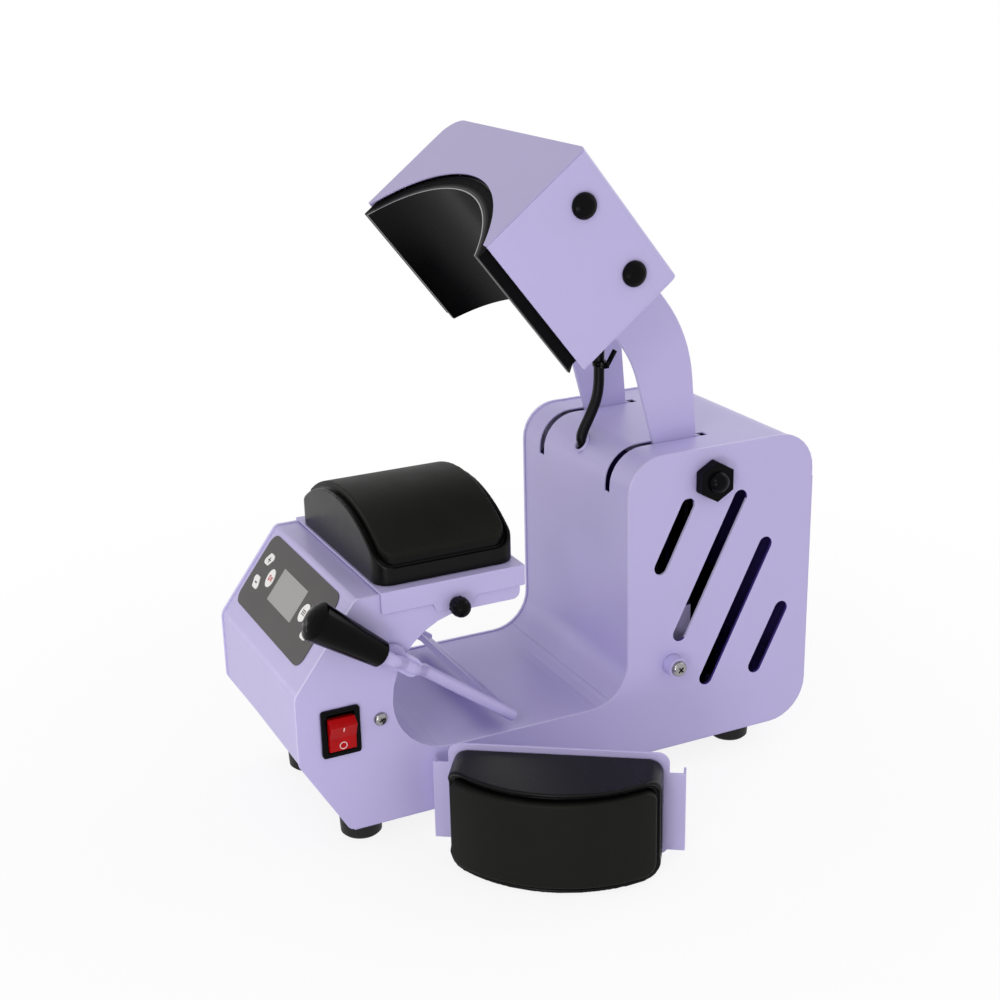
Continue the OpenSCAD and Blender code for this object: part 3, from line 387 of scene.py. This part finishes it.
def foamBand(kit):
    # Smooth skin round the base of the pad
    s = Shader("foamBand")
    mottle = s.noise(70, 4, 0.6)
    pores = s.noise(1800, 2)
    skin = s.mix(mottle, kit["band"], kit["bandLight"])
    return s.surface({
        "Base Color": s.mix(grooveShade(s), skin, kit["groove"]),
        "Roughness": 0.3 + (mottle - 0.5) * 0.16,
        "Normal": s.bump(pores + mottle * 0.4, 0.00006, 0.6),
        "Specular IOR Level": 0.12,
    })


def printedFilm():
    s = Shader("printedFilm")
    grain = s.noise(3000, 1)
    return s.surface({
        "Base Color": s.mix(s.noise(22, 3), color(60, 58, 58), color(72, 69, 68)),
        "Roughness": 0.36 + (grain - 0.5) * 0.1,
        "Normal": s.bump(grain, 0.00003, 0.6),
        "Specular IOR Level": 0.25,
    })


def displayWindow():
    s = Shader("displayWindow")
    return s.surface({
        "Base Color": s.mix(s.noise(40, 2), color(146, 144, 142), color(156, 154, 151)),
        "Roughness": 0.3 + (s.noise(120, 3) - 0.5) * 0.08,
        "Specular IOR Level": 0.3,
        "Coat Weight": 0.2,
        "Coat Roughness": 0.05,
    })


def rockerRed():
    s = Shader("rockerRed")
    return s.surface({
        "Base Color": s.mix(s.noise(90, 3), color(180, 3, 9), color(148, 1, 5)),
        "Roughness": 0.24 + (s.noise(300, 3) - 0.5) * 0.1,
        "Subsurface Weight": 0.1,
        "Subsurface Radius": (0.004, 0.001, 0.001),
        "Specular IOR Level": 0.14,
    })


def markInk(name, shade):
    s = Shader(name)
    return s.surface({
        "Base Color": s.mix(s.noise(900, 2), shade, tuple(0.88 * v for v in shade[:3]) + (1,)),
        "Roughness": 0.55,
    })


def solderMask():
    s = Shader("solderMask")
    tracks = s.ramp(s.noise(420, 1, at=s.stretched((1, 0.08, 0.08))), [(0.5, 0), (0.53, 1)])
    return s.surface({
        "Base Color": s.mix(tracks, color(24, 92, 58), color(34, 112, 70)),
        "Roughness": 0.35 + tracks * 0.1,
        "Normal": s.bump(tracks, 0.00003, 0.4),
    })


paint = powderCoat("lilacPowderCoat", paintSet)
rightPaint = powderCoat("rightPlateCoat", paintSet, outward=1, shadeCreases=True)
leftPaint = powderCoat("leftPlateCoat", paintSet, outward=-1)
# The head's front plate, painted darker as shade
frontShadedPaint = powderCoat("headFrontCoat", paintSet, "shadedTones")
finishes = {
    # Name, two colours, roughness and stretch of the strokes
    "zinc": brushedMetal("zincPlate", color(168, 166, 166), color(138, 136, 137), 0.22, (1, 0.2, 1)),
    "clampSteel": brushedMetal("clampSteel", color(70, 70, 73), color(52, 52, 55), 0.4, (1, 0.1, 1)),
    "bronze": brushedMetal("sinteredBronze", color(190, 156, 92), color(160, 128, 74), 0.45, (1, 1, 1)),
    # Name, two colours, roughness, grain, its depth and gloss
    "blackSteel": mouldedPlastic("blackOxide", color(3, 2, 5), color(6, 5, 8), 0.14, 1500, 0.00002, 0.06),
    "heater": mouldedPlastic("siliconeHeater", color(9, 8, 10), color(15, 14, 16), 0.6, 900, 0.0001, 0.1),
    "rubber": mouldedPlastic("footRubber", color(14, 14, 16), color(24, 24, 26), 0.55, 1400, 0.00008, 0.25),
    "gloss": mouldedPlastic("glossBlack", color(2, 2, 3), color(4, 4, 4), 0.09, 500, 0.00001, 0.07),
    "sleeve": mouldedPlastic("cableSleeve", color(7, 6, 10), color(12, 11, 15), 0.36, 2600, 0.00005, 0.12),
    "matt": mouldedPlastic("mattBlack", color(3, 3, 5), color(7, 7, 9), 0.26, 2200, 0.00005, 0.07),
    "white": mouldedPlastic("keyWhite", color(240, 238, 236), color(228, 226, 224), 0.35, 2000, 0.00003,
                            0.4),
    "ceramic": mouldedPlastic("ceramic", color(214, 210, 202), color(198, 194, 186), 0.5, 800, 0.00005, 0.5),
    "platen": coatedPlaten(platenSet),
    "fibre": wovenFibre("blackFibre", color(3, 3, 5), color(10, 10, 12)),
    "film": printedFilm(),
    "display": displayWindow(),
    "red": rockerRed(),
    "board": solderMask(),
}
padFace = foamFace(padSet)
padBand = foamBand(padSet)
darkInk = markInk("darkInk", color(88, 88, 90))
redInk = markInk("redInk", color(196, 30, 44))
paleInk = markInk("paleInk", color(244, 214, 214))
print("finishes ready")

# Every node that isn't named here is painted
nodeFinish = {
    "zinc": ["foot_screws", "pivot_shaft", "pivot_spacers", "crank_pin", "lever_pins", "head_bars",
             "captive_nuts"],
    "clampSteel": ["clamp_plate", "platen_brackets"],
    "bronze": ["pivot_bushes"],
    "blackSteel": ["pivot_cap_nuts", "actuator_motor", "actuator_body", "push_rod"],
    "fibre": ["insulation"],
    "heater": ["heater_mat"],
    "rubber": ["feet"],
    "gloss": ["lever_grip", "rocker_bezel", "power_inlet"],
    "matt": ["head_plugs", "cable_gland", "knob_right", "knob_left"],
    "white": ["key_plus", "key_minus", "key_start", "key_menu", "key_next", "key_back"],
    "ceramic": ["head_sensors"],
    "film": ["panel_overlay"],
    "display": ["lcd_window"],
    "red": ["rocker"],
    "board": ["control_board", "power_board"],
}


def dressNodes():
    chosen = {name: finishes[kind] for kind, names in nodeFinish.items() for name in names}
    chosen["side_plate_left"] = leftPaint
    chosen["head_front_plate"] = frontShadedPaint
    for name, item in nodes.items():
        item.data.materials.clear()
        item.data.materials.append(chosen.get(name, paint))


easeSet = {
    "sheet": 0.00035,
    "moulded": 0.0004,
    "sheets": ["side_plate_left", "front_panel", "throat_liner", "rear_cover", "head_shell",
               "head_front_plate", "head_rear_plate", "mat_bracket", "spare_bracket", "arm_right",
               "arm_left"],
    "mouldings": ["rocker_bezel", "rocker", "pivot_cap_nuts", "power_inlet", "key_plus", "key_minus",
                  "key_start", "key_menu", "key_next", "key_back"],
    "flatAngle": 0.5,
    "cornerAngle": 38,
}
joinDistance = 0.00001
foldAngle = math.radians(34.4)


def easeEdges(item, width, kit):
    # Folded and cut edges get a small round that catches the light
    weld = item.modifiers.new("weld", "WELD")
    weld.merge_threshold = joinDistance
    flat = item.modifiers.new("flat", "DECIMATE")
    flat.decimate_type = "DISSOLVE"
    flat.angle_limit = math.radians(kit["flatAngle"])
    ease = item.modifiers.new("ease", "BEVEL")
    ease.width = width
    ease.segments = 2
    ease.limit_method = "ANGLE"
    ease.angle_limit = math.radians(kit["cornerAngle"])
    level = item.modifiers.new("level", "WEIGHTED_NORMAL")
    level.keep_sharp = True


dressNodes()
for name in easeSet["sheets"]:
    easeEdges(nodes[name], easeSet["sheet"], easeSet)
for name in easeSet["mouldings"]:
    easeEdges(nodes[name], easeSet["moulded"], easeSet)
print("nodes dressed")


# New pieces

def smoothFaces(data):
    for face in data.polygons:
        face.use_smooth = True


def newPiece(name, mesh, material, body=None):
    data = bpy.data.meshes.new(name)
    bmesh.ops.recalc_face_normals(mesh, faces=mesh.faces)
    mesh.to_mesh(data)
    mesh.free()
    piece = linked(name, data)
    data.materials.append(material)
    smoothFaces(data)
    if body:
        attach(piece, body)
    return piece


def copySolid(node):
    # A copy of a solid of the part, with its loose triangles joined
    source = bmesh.new()
    source.from_mesh(nodes[node].data)
    bmesh.ops.remove_doubles(source, verts=source.verts, dist=joinDistance)
    return source


def finalMesh(piece):
    # The mesh that the modifiers leave, kept in their place
    graph = bpy.context.evaluated_depsgraph_get()
    final = bpy.data.meshes.new_from_object(piece.evaluated_get(graph))
    piece.modifiers.clear()
    piece.data = final
    smoothFaces(final)


def cutAway(piece, cutter, crossing=False):
    # crossing says that the cutter's own shapes run through each other
    tool = newPiece(piece.name + "Cutter", cutter, piece.data.materials[0])
    cut = piece.modifiers.new("cut", "BOOLEAN")
    cut.operation = "DIFFERENCE"
    cut.solver = "EXACT"
    cut.use_self = crossing
    cut.object = tool
    finalMesh(piece)
    bpy.data.objects.remove(tool)


def sharpenFolds(data):
    # Faces are smooth, and edges that turn by more than the fold angle are sharp
    mesh = bmesh.new()
    mesh.from_mesh(data)
    for edge in mesh.edges:
        edge.smooth = edge.is_manifold and edge.calc_face_angle(0) < foldAngle
    for face in mesh.faces:
        face.smooth = True
    mesh.to_mesh(data)
    mesh.free()


def spinProfile(mesh, points, partners, steps):
    # One full turn of a profile about the z axis, in millimetres
    edges = [mesh.edges.new(pair) for pair in zip(points, partners)]
    bmesh.ops.spin(mesh, geom=points + edges, cent=(0, 0, 0), axis=(0, 0, 1), angle=2 * math.pi,
                   steps=steps, use_merge=True)
    bmesh.ops.remove_doubles(mesh, verts=mesh.verts, dist=0.001)


def addRing(mesh, low, high, thick, steps):
    # A ring of square section about the z axis, in millimetres
    half = thick / 2
    section = ((low, -half), (high, -half), (high, half), (low, half))
    corners = [mesh.verts.new((reach, 0, z)) for reach, z in section]
    spinProfile(mesh, corners, corners[1:] + corners[:1], steps)


# The outside edges of the vents and of the arm slots, as wide as the photograph shows them

openingSet = {
    # Millimetres from the plate's corner
    "ventWidth": 10.4,
    "vents": [((243.3, 171.7), (223.4, 132.4)), ((283.7, 170.7), (238.4, 82.1)),
              ((304.8, 133.8), (259.7, 45.3)), ((319.3, 84.1), (299.3, 45.3))],
    "ventSteps": 16,
    "plateFrom": 70,
    "plateTo": 80,
    # The slots' reach to the left and to the right of the arms' middles
    "slotLeft": 4.8,
    "slotRight": 2,
    "arms": (46, -46),
    "slotDepth": (194, 274.6),
    "slotHeight": (180, 215),
}


def recut(name, node, body, cutter, material):
    # A copy of a sheet with larger openings, in place of the sheet
    piece = newPiece(name, copySolid(node), material)
    cutAway(piece, cutter)
    easeEdges(piece, easeSet["sheet"], easeSet)
    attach(piece, body)
    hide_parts(node)


def ventCutter(kit):
    mesh = bmesh.new()
    radius, steps = kit["ventWidth"] / 2, kit["ventSteps"]
    through = (kit["plateTo"] - kit["plateFrom"]) / 1000
    for low, high in kit["vents"]:
        run = math.atan2(high[1] - low[1], high[0] - low[0])
        outline = []
        for end, start in ((high, run - math.pi / 2), (low, run + math.pi / 2)):
            for step in range(steps + 1):
                angle = start + math.pi * step / steps
                outline.append((end[0] + radius * math.cos(angle), end[1] + radius * math.sin(angle)))
        face = mesh.faces.new([mesh.verts.new(fromPlate(kit["plateFrom"], y, z)) for y, z in outline])
        grown = bmesh.ops.extrude_face_region(mesh, geom=[face])["geom"]
        corners = [v for v in grown if isinstance(v, bmesh.types.BMVert)]
        bmesh.ops.translate(mesh, verts=corners, vec=(through, 0, 0))
    return mesh


def slotCutter(kit):
    mesh = bmesh.new()
    (front, back), (low, high) = kit["slotDepth"], kit["slotHeight"]
    left, right = kit["slotLeft"], kit["slotRight"]
    size = (left + right, back - front, high - low)
    for arm in kit["arms"]:
        spot = fromPlate(arm + (right - left) / 2, (front + back) / 2, (low + high) / 2)
        block = bmesh.ops.create_cube(mesh, size=0.001)["verts"]
        bmesh.ops.transform(mesh, matrix=Matrix.Translation(spot) @ Matrix.Diagonal((*size, 1)), verts=block)
    return mesh


recut("ventedPlate", "side_plate_right", "body", ventCutter(openingSet), rightPaint)
recut("slottedTower", "tower_cover", "body", slotCutter(openingSet), paint)
print("openings cut")


# The platen, drawn out at its rear end as far as the photograph shows it

def longerPlaten(kit):
    source = copySolid("heating_platen")
    tilt = math.radians(kit["headTilt"])
    back = Vector((0, math.cos(tilt), -math.sin(tilt)))
    depths = [back.dot(v.co) for v in source.verts]
    middle = (min(depths) + max(depths)) / 2
    for vertex, depth in zip(source.verts, depths):
        if depth > middle:
            vertex.co += back * kit["longer"]
    piece = newPiece("longPlaten", source, finishes["platen"], "head")
    # The normals that came with the solid no longer fit
    piece.data.attributes.remove(piece.data.attributes["custom_normal"])
    sharpenFolds(piece.data)
    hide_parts("heating_platen")


longerPlaten(platenSet)
print("platen made")


# The two foam pads

foamSet = {
    "voxel": 0.0008,
    "relax": 7,
    # The rest is in millimetres. A groove runs this far outside the raised panel
    "grooveAt": 1.2,
    "grooveWidth": 1.15,
    "grooveDepth": 3.2,
    "footDrop": 0.6,
    "footFade": 2.6,
    "faceMargin": 0.4,
    "faceDepth": 3,
    "pressedDepth": 8,
    # The groove's painted shade, from how far it is pressed
    "shadeGain": 1.6,
    "shadeLoss": 0.5,
}
capPadSet = {
    "axis": fromPlate(0, 74.75, 90.9),
    # Millimetres
    "reach": 106.6,
    "panelHalf": (67, 41.75),
    "panelCorner": 8,
}
sparePadSet = {
    "foot": fromPlate(129.8, 117.2, -17),
    "turn": 55.8,
    # Millimetres
    "axisIn": 40.2,
    "middle": 33.25,
    "reach": 95,
    "panelHalf": (62.5, 28.25),
    "panelCorner": 7,
}


def softened(name, node, foam):
    # A copy of a solid pad, remeshed and relaxed so that its edges turn softly
    piece = newPiece(name, copySolid(node), padFace)
    remesh = piece.modifiers.new("remesh", "REMESH")
    remesh.mode = "VOXEL"
    remesh.voxel_size = foam["voxel"]
    relax = piece.modifiers.new("relax", "SMOOTH")
    relax.factor = 0.5
    relax.iterations = foam["relax"]
    finalMesh(piece)
    return piece


def outsidePanel(across, along, kit):
    # Distance from the outline of the raised panel, below zero inside it
    dx = abs(across) - kit["panelHalf"][0] + kit["panelCorner"]
    dy = abs(along) - kit["panelHalf"][1] + kit["panelCorner"]
    return math.hypot(max(dx, 0), max(dy, 0)) + min(max(dx, dy), 0) - kit["panelCorner"]


def pressGroove(piece, toPad, kit, foam):
    # toPad turns a point of the piece into across, along and out from the axis of the arch, in millimetres.
    # A groove is pressed round the foot of the raised panel, and what lies inside it is the pad's face.
    data = piece.data
    data.materials.clear()
    data.materials.append(padFace)
    data.materials.append(padBand)
    shade = data.attributes.new("groove", "FLOAT", "POINT")
    fromPad = toPad.inverted()
    inside = [False] * len(data.vertices)
    for vertex in data.vertices:
        spot = toPad @ vertex.co
        reach = math.hypot(spot.x, spot.z)
        outside = outsidePanel(spot.x, spot.y, kit)
        inside[vertex.index] = outside < foam["faceMargin"] and reach > kit["reach"] - foam["faceDepth"]
        if spot.z < 0 or reach < kit["reach"] - foam["pressedDepth"]:
            continue
        foot = min(1, max(0, (kit["reach"] - foam["footDrop"] - reach) / foam["footFade"]))
        press = math.exp(-((outside - foam["grooveAt"]) / foam["grooveWidth"]) ** 2) * foot
        lower = (reach - foam["grooveDepth"] * press) / reach
        vertex.co = fromPad @ Vector((spot.x * lower, spot.y, spot.z * lower))
        # Painted shade, darker where the groove is pressed deeper
        shade.data[vertex.index].value = min(1, max(0, press * foam["shadeGain"] - foam["shadeLoss"]))
    for face in data.polygons:
        face.material_index = 0 if all(inside[v] for v in face.vertices) else 1


def placePad(pad, node, body):
    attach(pad, body)
    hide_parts(node)


def makeCapPad(kit, foam):
    pad = softened("capPad", "cap_mat", foam)
    pressGroove(pad, toMillimetres @ Matrix.Translation(-kit["axis"]), kit, foam)
    placePad(pad, "cap_mat", "mat_unit")


def makeSparePad(kit, foam):
    pad = softened("sparePad", "spare_mat", foam)
    # The pad's back stands on its end: across stays, along is up, and out from the axis is forward
    stand = Matrix(((1, 0, 0, 0), (0, 0, 1, -kit["middle"]), (0, -1, 0, kit["axisIn"]), (0, 0, 0, 1)))
    turned = Matrix.Rotation(-math.radians(kit["turn"]), 4, "Z") @ Matrix.Translation(-kit["foot"])
    pressGroove(pad, stand @ toMillimetres @ turned, kit, foam)
    placePad(pad, "spare_mat", "spare_unit")


makeCapPad(capPadSet, foamSet)
makeSparePad(sparePadSet, foamSet)
print("pads made")


# The cable to the head, and the tie round it

cableSet = {
    # Millimetres from the plate's corner, in the middle plane
    "diameter": 7.4,
    "route": [(212.4, 193.7), (208.9, 197.2), (206.3, 200.8), (205.8, 204.8), (207.5, 209.4),
              (210.6, 215.2), (214, 221.8), (217.2, 229.6), (218.8, 238), (219.2, 247), (219.2, 259),
              (219.6, 271), (219.6, 282), (218.7, 291.5), (216.6, 299.6), (213.1, 305.9), (209.4, 310.7)],
    "bendFrom": (0, 206.3, 200.8),
    "bendTo": (0, 216.6, 299.6),
    "roundness": 6,
    "steps": 8,
}
tieSet = {
    # Millimetres
    "at": (219.3, 253.6),
    "inner": 3.5,
    "thick": 1.1,
    "width": 3.6,
    "lock": (4.6, 5, 4.4),
    "lockIn": 0.6,
    "tail": (1.3, 11, 3.6),
    "tailIn": (2, 0.8),
    "round": 0.35,
    "lift": 56,
    "turn": 5,
    "steps": 40,
}


def bendWithHead(piece):
    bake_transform(piece)


def curveMesh(holder):
    graph = bpy.context.evaluated_depsgraph_get()
    return bpy.data.meshes.new_from_object(holder.evaluated_get(graph))


def makeCable(kit):
    points = [fromPlate(0, y, z) for y, z in kit["route"]]
    line = bpy.data.curves.new("heaterCableLine", "CURVE")
    line.dimensions = "3D"
    line.bevel_depth = kit["diameter"] / 2000
    line.bevel_resolution = kit["roundness"]
    line.use_fill_caps = True
    spline = line.splines.new("BEZIER")
    spline.bezier_points.add(len(points) - 1)
    for knot, point in zip(spline.bezier_points, points):
        knot.co = point
        knot.handle_left_type = "AUTO"
        knot.handle_right_type = "AUTO"
    line.resolution_u = kit["steps"]
    holder = linked("heaterCableLine", line)
    data = curveMesh(holder)
    line.bevel_depth = 0
    path = [tuple(v.co) for v in curveMesh(holder).vertices]
    bpy.data.objects.remove(holder)
    cable = linked("heaterCable", data)
    data.name = "heaterCable"
    data.materials.clear()
    data.materials.append(finishes["sleeve"])
    smoothFaces(data)
    bendWithHead(cable)
    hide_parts("heater_cable")
    tie = makeTie(tieSet)


def makeTie(kit):
    # A nylon tie round the cable, with its lock and the cut end of its strap
    mesh = bmesh.new()
    outer = kit["inner"] + kit["thick"]
    addRing(mesh, kit["inner"], outer, kit["width"], kit["steps"])
    lock, tail = kit["lock"], kit["tail"]
    lockAt = Matrix.Translation((outer + lock[0] / 2 - kit["lockIn"], 0, 0))
    tailAt = (Matrix.Translation((outer + lock[0] - kit["tailIn"][0], lock[1] / 2 - kit["tailIn"][1], 0))
              @ Matrix.Rotation(math.radians(kit["lift"]), 4, "X") @ Matrix.Translation((0, tail[1] / 2, 0)))
    for size, spot in ((lock, lockAt), (tail, tailAt)):
        block = bmesh.ops.create_cube(mesh, size=1)["verts"]
        bmesh.ops.transform(mesh, matrix=spot @ Matrix.Diagonal((*size, 1)), verts=block)
        rims = list({e for v in block for e in v.link_edges})
        bmesh.ops.bevel(mesh, geom=rims, offset=kit["round"], segments=2, profile=0.5, affect="EDGES",
                        material=-1)
    place = (Matrix.Translation(fromPlate(0, *kit["at"])) @ toMetres
             @ Matrix.Rotation(math.radians(kit["turn"]), 4, "Z"))
    bmesh.ops.transform(mesh, matrix=place, verts=mesh.verts)
    tie = newPiece("cableTie", mesh, finishes["gloss"])
    bendWithHead(tie)
    return tie


makeCable(cableSet)


# Cross-head screws, on both sides of the machine

screwSet = {
    # Millimetres from the plate's corner
    "panel": {"face": 75, "y": 23.3, "z": 71.6, "across": 8.6, "rise": 2.8, "shank": 4, "turn": 0.5},
    "stop": {"face": 83.5, "y": 232.6, "z": 61.6, "across": 10.6, "rise": 3.4, "shank": 6, "turn": 0.75},
    # The domed head, as shares of its radius and its rise
    "dome": [(0, 1), (0.5, 0.97), (0.78, 0.83), (0.94, 0.58), (1, 0.25), (1, 0)],
    # The cross, as shares of the head's width
    "crossArm": 0.31,
    "crossWidth": 0.17,
    "crossDepth": 0.62,
    "crossTaper": 0.45,
    "shankEnd": 66,
    "farTurn": -0.3,
    "steps": 48,
}


def makeScrews(name, replaced, kit, shared):
    mesh = bmesh.new()
    radius, rise, shank = kit["across"] / 2, kit["rise"], kit["shank"] / 2
    tip = shared["shankEnd"] - kit["face"]
    dome = [(radius * out, rise * up) for out, up in shared["dome"]]
    profile = dome + [(shank, 0), (shank, tip), (0, tip)]
    points = [mesh.verts.new((reach, 0, z)) for reach, z in profile]
    spinProfile(mesh, points, points[1:], shared["steps"])
    screw = newPiece(name, mesh, finishes["zinc"])
    cutter = bmesh.new()
    arm, width, depth = (kit["across"] * shared[k] for k in ("crossArm", "crossWidth", "crossDepth"))
    for turn in (0, math.pi / 2):
        block = bmesh.ops.create_cube(cutter, size=1)["verts"]
        for corner in block:
            narrow = shared["crossTaper"] if corner.co.z < 0 else 1
            corner.co = (corner.co.x * 2 * arm * narrow, corner.co.y * width * narrow, corner.co.z * depth)
        spot = Matrix.Translation((0, 0, rise)) @ Matrix.Rotation(turn, 4, "Z")
        bmesh.ops.transform(cutter, matrix=spot, verts=block)
    cutAway(screw, cutter, crossing=True)
    both = bmesh.new()
    for side, turn in ((1, kit["turn"]), (-1, shared["farTurn"])):
        before = len(both.verts)
        both.from_mesh(screw.data)
        both.verts.ensure_lookup_table()
        out = Matrix.Rotation(side * math.pi / 2, 4, "Y") @ Matrix.Rotation(turn, 4, "Z")
        place = Matrix.Translation(fromPlate(side * kit["face"], kit["y"], kit["z"])) @ toMetres @ out
        bmesh.ops.transform(both, matrix=place, verts=both.verts[before:])
    both.to_mesh(screw.data)
    both.free()
    sharpenFolds(screw.data)
    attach(screw, "body")
    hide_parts(replaced)


makeScrews("panelScrews", "panel_screws", screwSet["panel"], screwSet)
makeScrews("stopScrews", "stop_screws", screwSet["stop"], screwSet)
print("screws made")


# Marks on the keys, in millimetres across and up the slope

slopeSet = {"low": fromPlate(0, -30.5, 97), "angle": 53.13}
markSet = {
    "level": 0.3,
    "thick": 0.12,
    # Across, up, width, height and turn of each bar
    "plus": [(-52.4, 49.8, 4.2, 1.0), (-52.4, 49.8, 1.0, 4.2)],
    "minus": [(-52.8, 32.6, 3.4, 1.2)],
    "start": [(-39.6, 41.5, 0.8, 3.2), (-37.8, 41.5, 0.8, 3.2), (-38.7, 43, 2, 0.7), (-38.7, 40, 2, 0.7),
              (-36, 41.5, 0.8, 3.2), (-34.6, 42.3, 2.2, 0.7, 0.8), (-34.6, 40.7, 2.2, 0.7, -0.8)],
    "menu": [(27.2, 42.8, 5, 0.7), (27.2, 41.5, 5, 0.7), (27.2, 40.2, 5, 0.7)],
}


def addBar(mesh, level, thick, across, up, width, height, turn=0.0):
    made = bmesh.ops.create_cube(mesh, size=1)["verts"]
    shape = (Matrix.Translation((across, up, level)) @ Matrix.Rotation(turn, 4, "Z")
             @ Matrix.Diagonal((width, height, thick, 1)))
    bmesh.ops.transform(mesh, matrix=shape, verts=made)


def keyMark(key, ink, kit, slope):
    mesh = bmesh.new()
    for bar in kit[key]:
        addBar(mesh, kit["level"], kit["thick"], *bar)
    onSlope = Matrix.Translation(slope["low"]) @ Matrix.Rotation(math.radians(slope["angle"]), 4, "X")
    bmesh.ops.transform(mesh, matrix=onSlope @ toMetres, verts=mesh.verts)
    newPiece(key + "Mark", mesh, ink, "key_" + key + "_cap")


for key, ink in (("plus", darkInk), ("minus", darkInk), ("start", redInk), ("menu", darkInk)):
    keyMark(key, ink, markSet, slopeSet)


# On and off marks, on the two faces of the rocker

rockerSet = {
    "pin": fromPlate(71, -3.05, 69.6),
    "tilt": 12,
    # Millimetres
    "faceMiddle": 9,
    "faceEnd": (10.4, 8.9),
    "stroke": (0.7, 3.1),
    "strokeAt": 6.3,
    "ring": (2.0, 2.5),
    "ringAt": -5.6,
    "proud": 0.06,
    "thick": 0.12,
    "steps": 48,
}


def rockerMarks(kit):
    lean = math.atan2(kit["faceEnd"][0] - kit["faceMiddle"], kit["faceEnd"][1])
    tilt = Matrix.Rotation(math.radians(kit["tilt"]), 4, "Y")

    def placeMark(name, mesh, height):
        # Across stays on the mark's x, up its y, and out its z
        out = kit["faceMiddle"] + abs(height) * math.tan(lean) + kit["proud"]
        face = Matrix(((0, 0, 1, 0), (1, 0, 0, 0), (0, 1, 0, 0), (0, 0, 0, 1)))
        slope = Matrix.Rotation(math.copysign(lean, height), 4, "Y")
        onFace = (Matrix.Translation(kit["pin"]) @ toMetres @ tilt
                  @ Matrix.Translation((out, 0, height)) @ slope @ face)
        bmesh.ops.transform(mesh, matrix=onFace, verts=mesh.verts)
        newPiece(name, mesh, paleInk, "switch_rocker")

    stroke = bmesh.new()
    addBar(stroke, 0, kit["thick"], 0, 0, *kit["stroke"])
    placeMark("onMark", stroke, kit["strokeAt"])
    ring = bmesh.new()
    addRing(ring, *kit["ring"], kit["thick"], kit["steps"])
    placeMark("offMark", ring, kit["ringAt"])


rockerMarks(rockerSet)
print("marks made")


# Floor, lights and the pale background

stageSet = {
    "floor": color(250, 249, 251),
    "floorHalf": 6,
    "whiteness": 0.86,
    "fadeFrom": 0.26,
    "fadeOver": 0.35,
    "world": 0.72,
    # Name, place, size, strength and colour
    "lamps": [
        ("keyLamp", (1.3, -1.5, 1.2), 0.7, 4.6, (1, 0.99, 0.97)),
        ("glintLamp", (1.3, -1.45, 1.2), 0.12, 1.6, (1, 0.99, 0.97)),
        ("lowLamp", (0.8, -0.6, 0.07), 0.25, 2, (1, 1, 1)),
        ("sideLamp", (-0.9, -1.0, 0.1), 0.5, 1.8, (1, 1, 1)),
        ("rearLamp", (-0.2, 1.9, 1.5), 1.4, 9, (0.98, 0.99, 1)),
    ],
    "target": (0, 0, 0.2),
}
white = (1, 1, 1, 1)


def seenRay(shader):
    # Is this ray one that shows the background: the camera's, or one off metal or through glass
    rays = [shader.node("ShaderNodeLightPath", output=name)
            for name in ("Is Camera Ray", "Is Glossy Ray", "Is Transmission Ray")]
    return rays[0].atLeast(rays[1]).atLeast(rays[2])


def makeFloor(kit):
    # It keeps the shadow near the machine and fades to white further out
    s = Shader("paleFloor")
    shade = s.node("ShaderNodeBsdfDiffuse", None, {"Color": kit["floor"]})
    bright = s.node("ShaderNodeEmission", None, {"Color": white, "Strength": 1.0})
    distance = s.node("ShaderNodeVectorMath", {"operation": "LENGTH"}, {0: s.place}, 1)
    fade = ((distance - kit["fadeFrom"]) * (1 / kit["fadeOver"])).atMost(1).atLeast(0)
    share = seenRay(s) * (kit["whiteness"] + fade * (1 - kit["whiteness"]))
    both = s.node("ShaderNodeMixShader", None, {0: share, 1: shade, 2: bright})
    s.node("ShaderNodeOutputMaterial", None, {"Surface": both})
    mesh = bmesh.new()
    bmesh.ops.create_grid(mesh, x_segments=1, y_segments=1, size=kit["floorHalf"])
    data = bpy.data.meshes.new("paleFloor")
    mesh.to_mesh(data)
    mesh.free()
    floor = linked("paleFloor", data)
    data.materials.append(s.material)


def makeRoom(kit):
    world = bpy.data.worlds.new("paleRoom")
    bpy.context.scene.world = world
    s = Shader("paleRoom", world)
    room = s.node("ShaderNodeBackground", None, {"Color": white, "Strength": kit["world"]})
    plain = s.node("ShaderNodeBackground", None, {"Color": white, "Strength": 1.0})
    both = s.node("ShaderNodeMixShader", None, {0: seenRay(s), 1: room, 2: plain})
    s.node("ShaderNodeOutputWorld", None, {"Surface": both})


def makeLamps(kit):
    for name, spot, size, strength, tint in kit["lamps"]:
        lamp = bpy.data.lights.new(name, "AREA")
        lamp.size = size
        lamp.energy = strength
        lamp.color = tint
        aim = Vector(kit["target"]) - Vector(spot)
        turn = aim.to_track_quat("-Z", "Y").to_matrix().to_4x4()
        linked(name, lamp).matrix_world = Matrix.Translation(spot) @ turn


makeFloor(stageSet)
makeRoom(stageSet)
makeLamps(stageSet)
print("stage made")
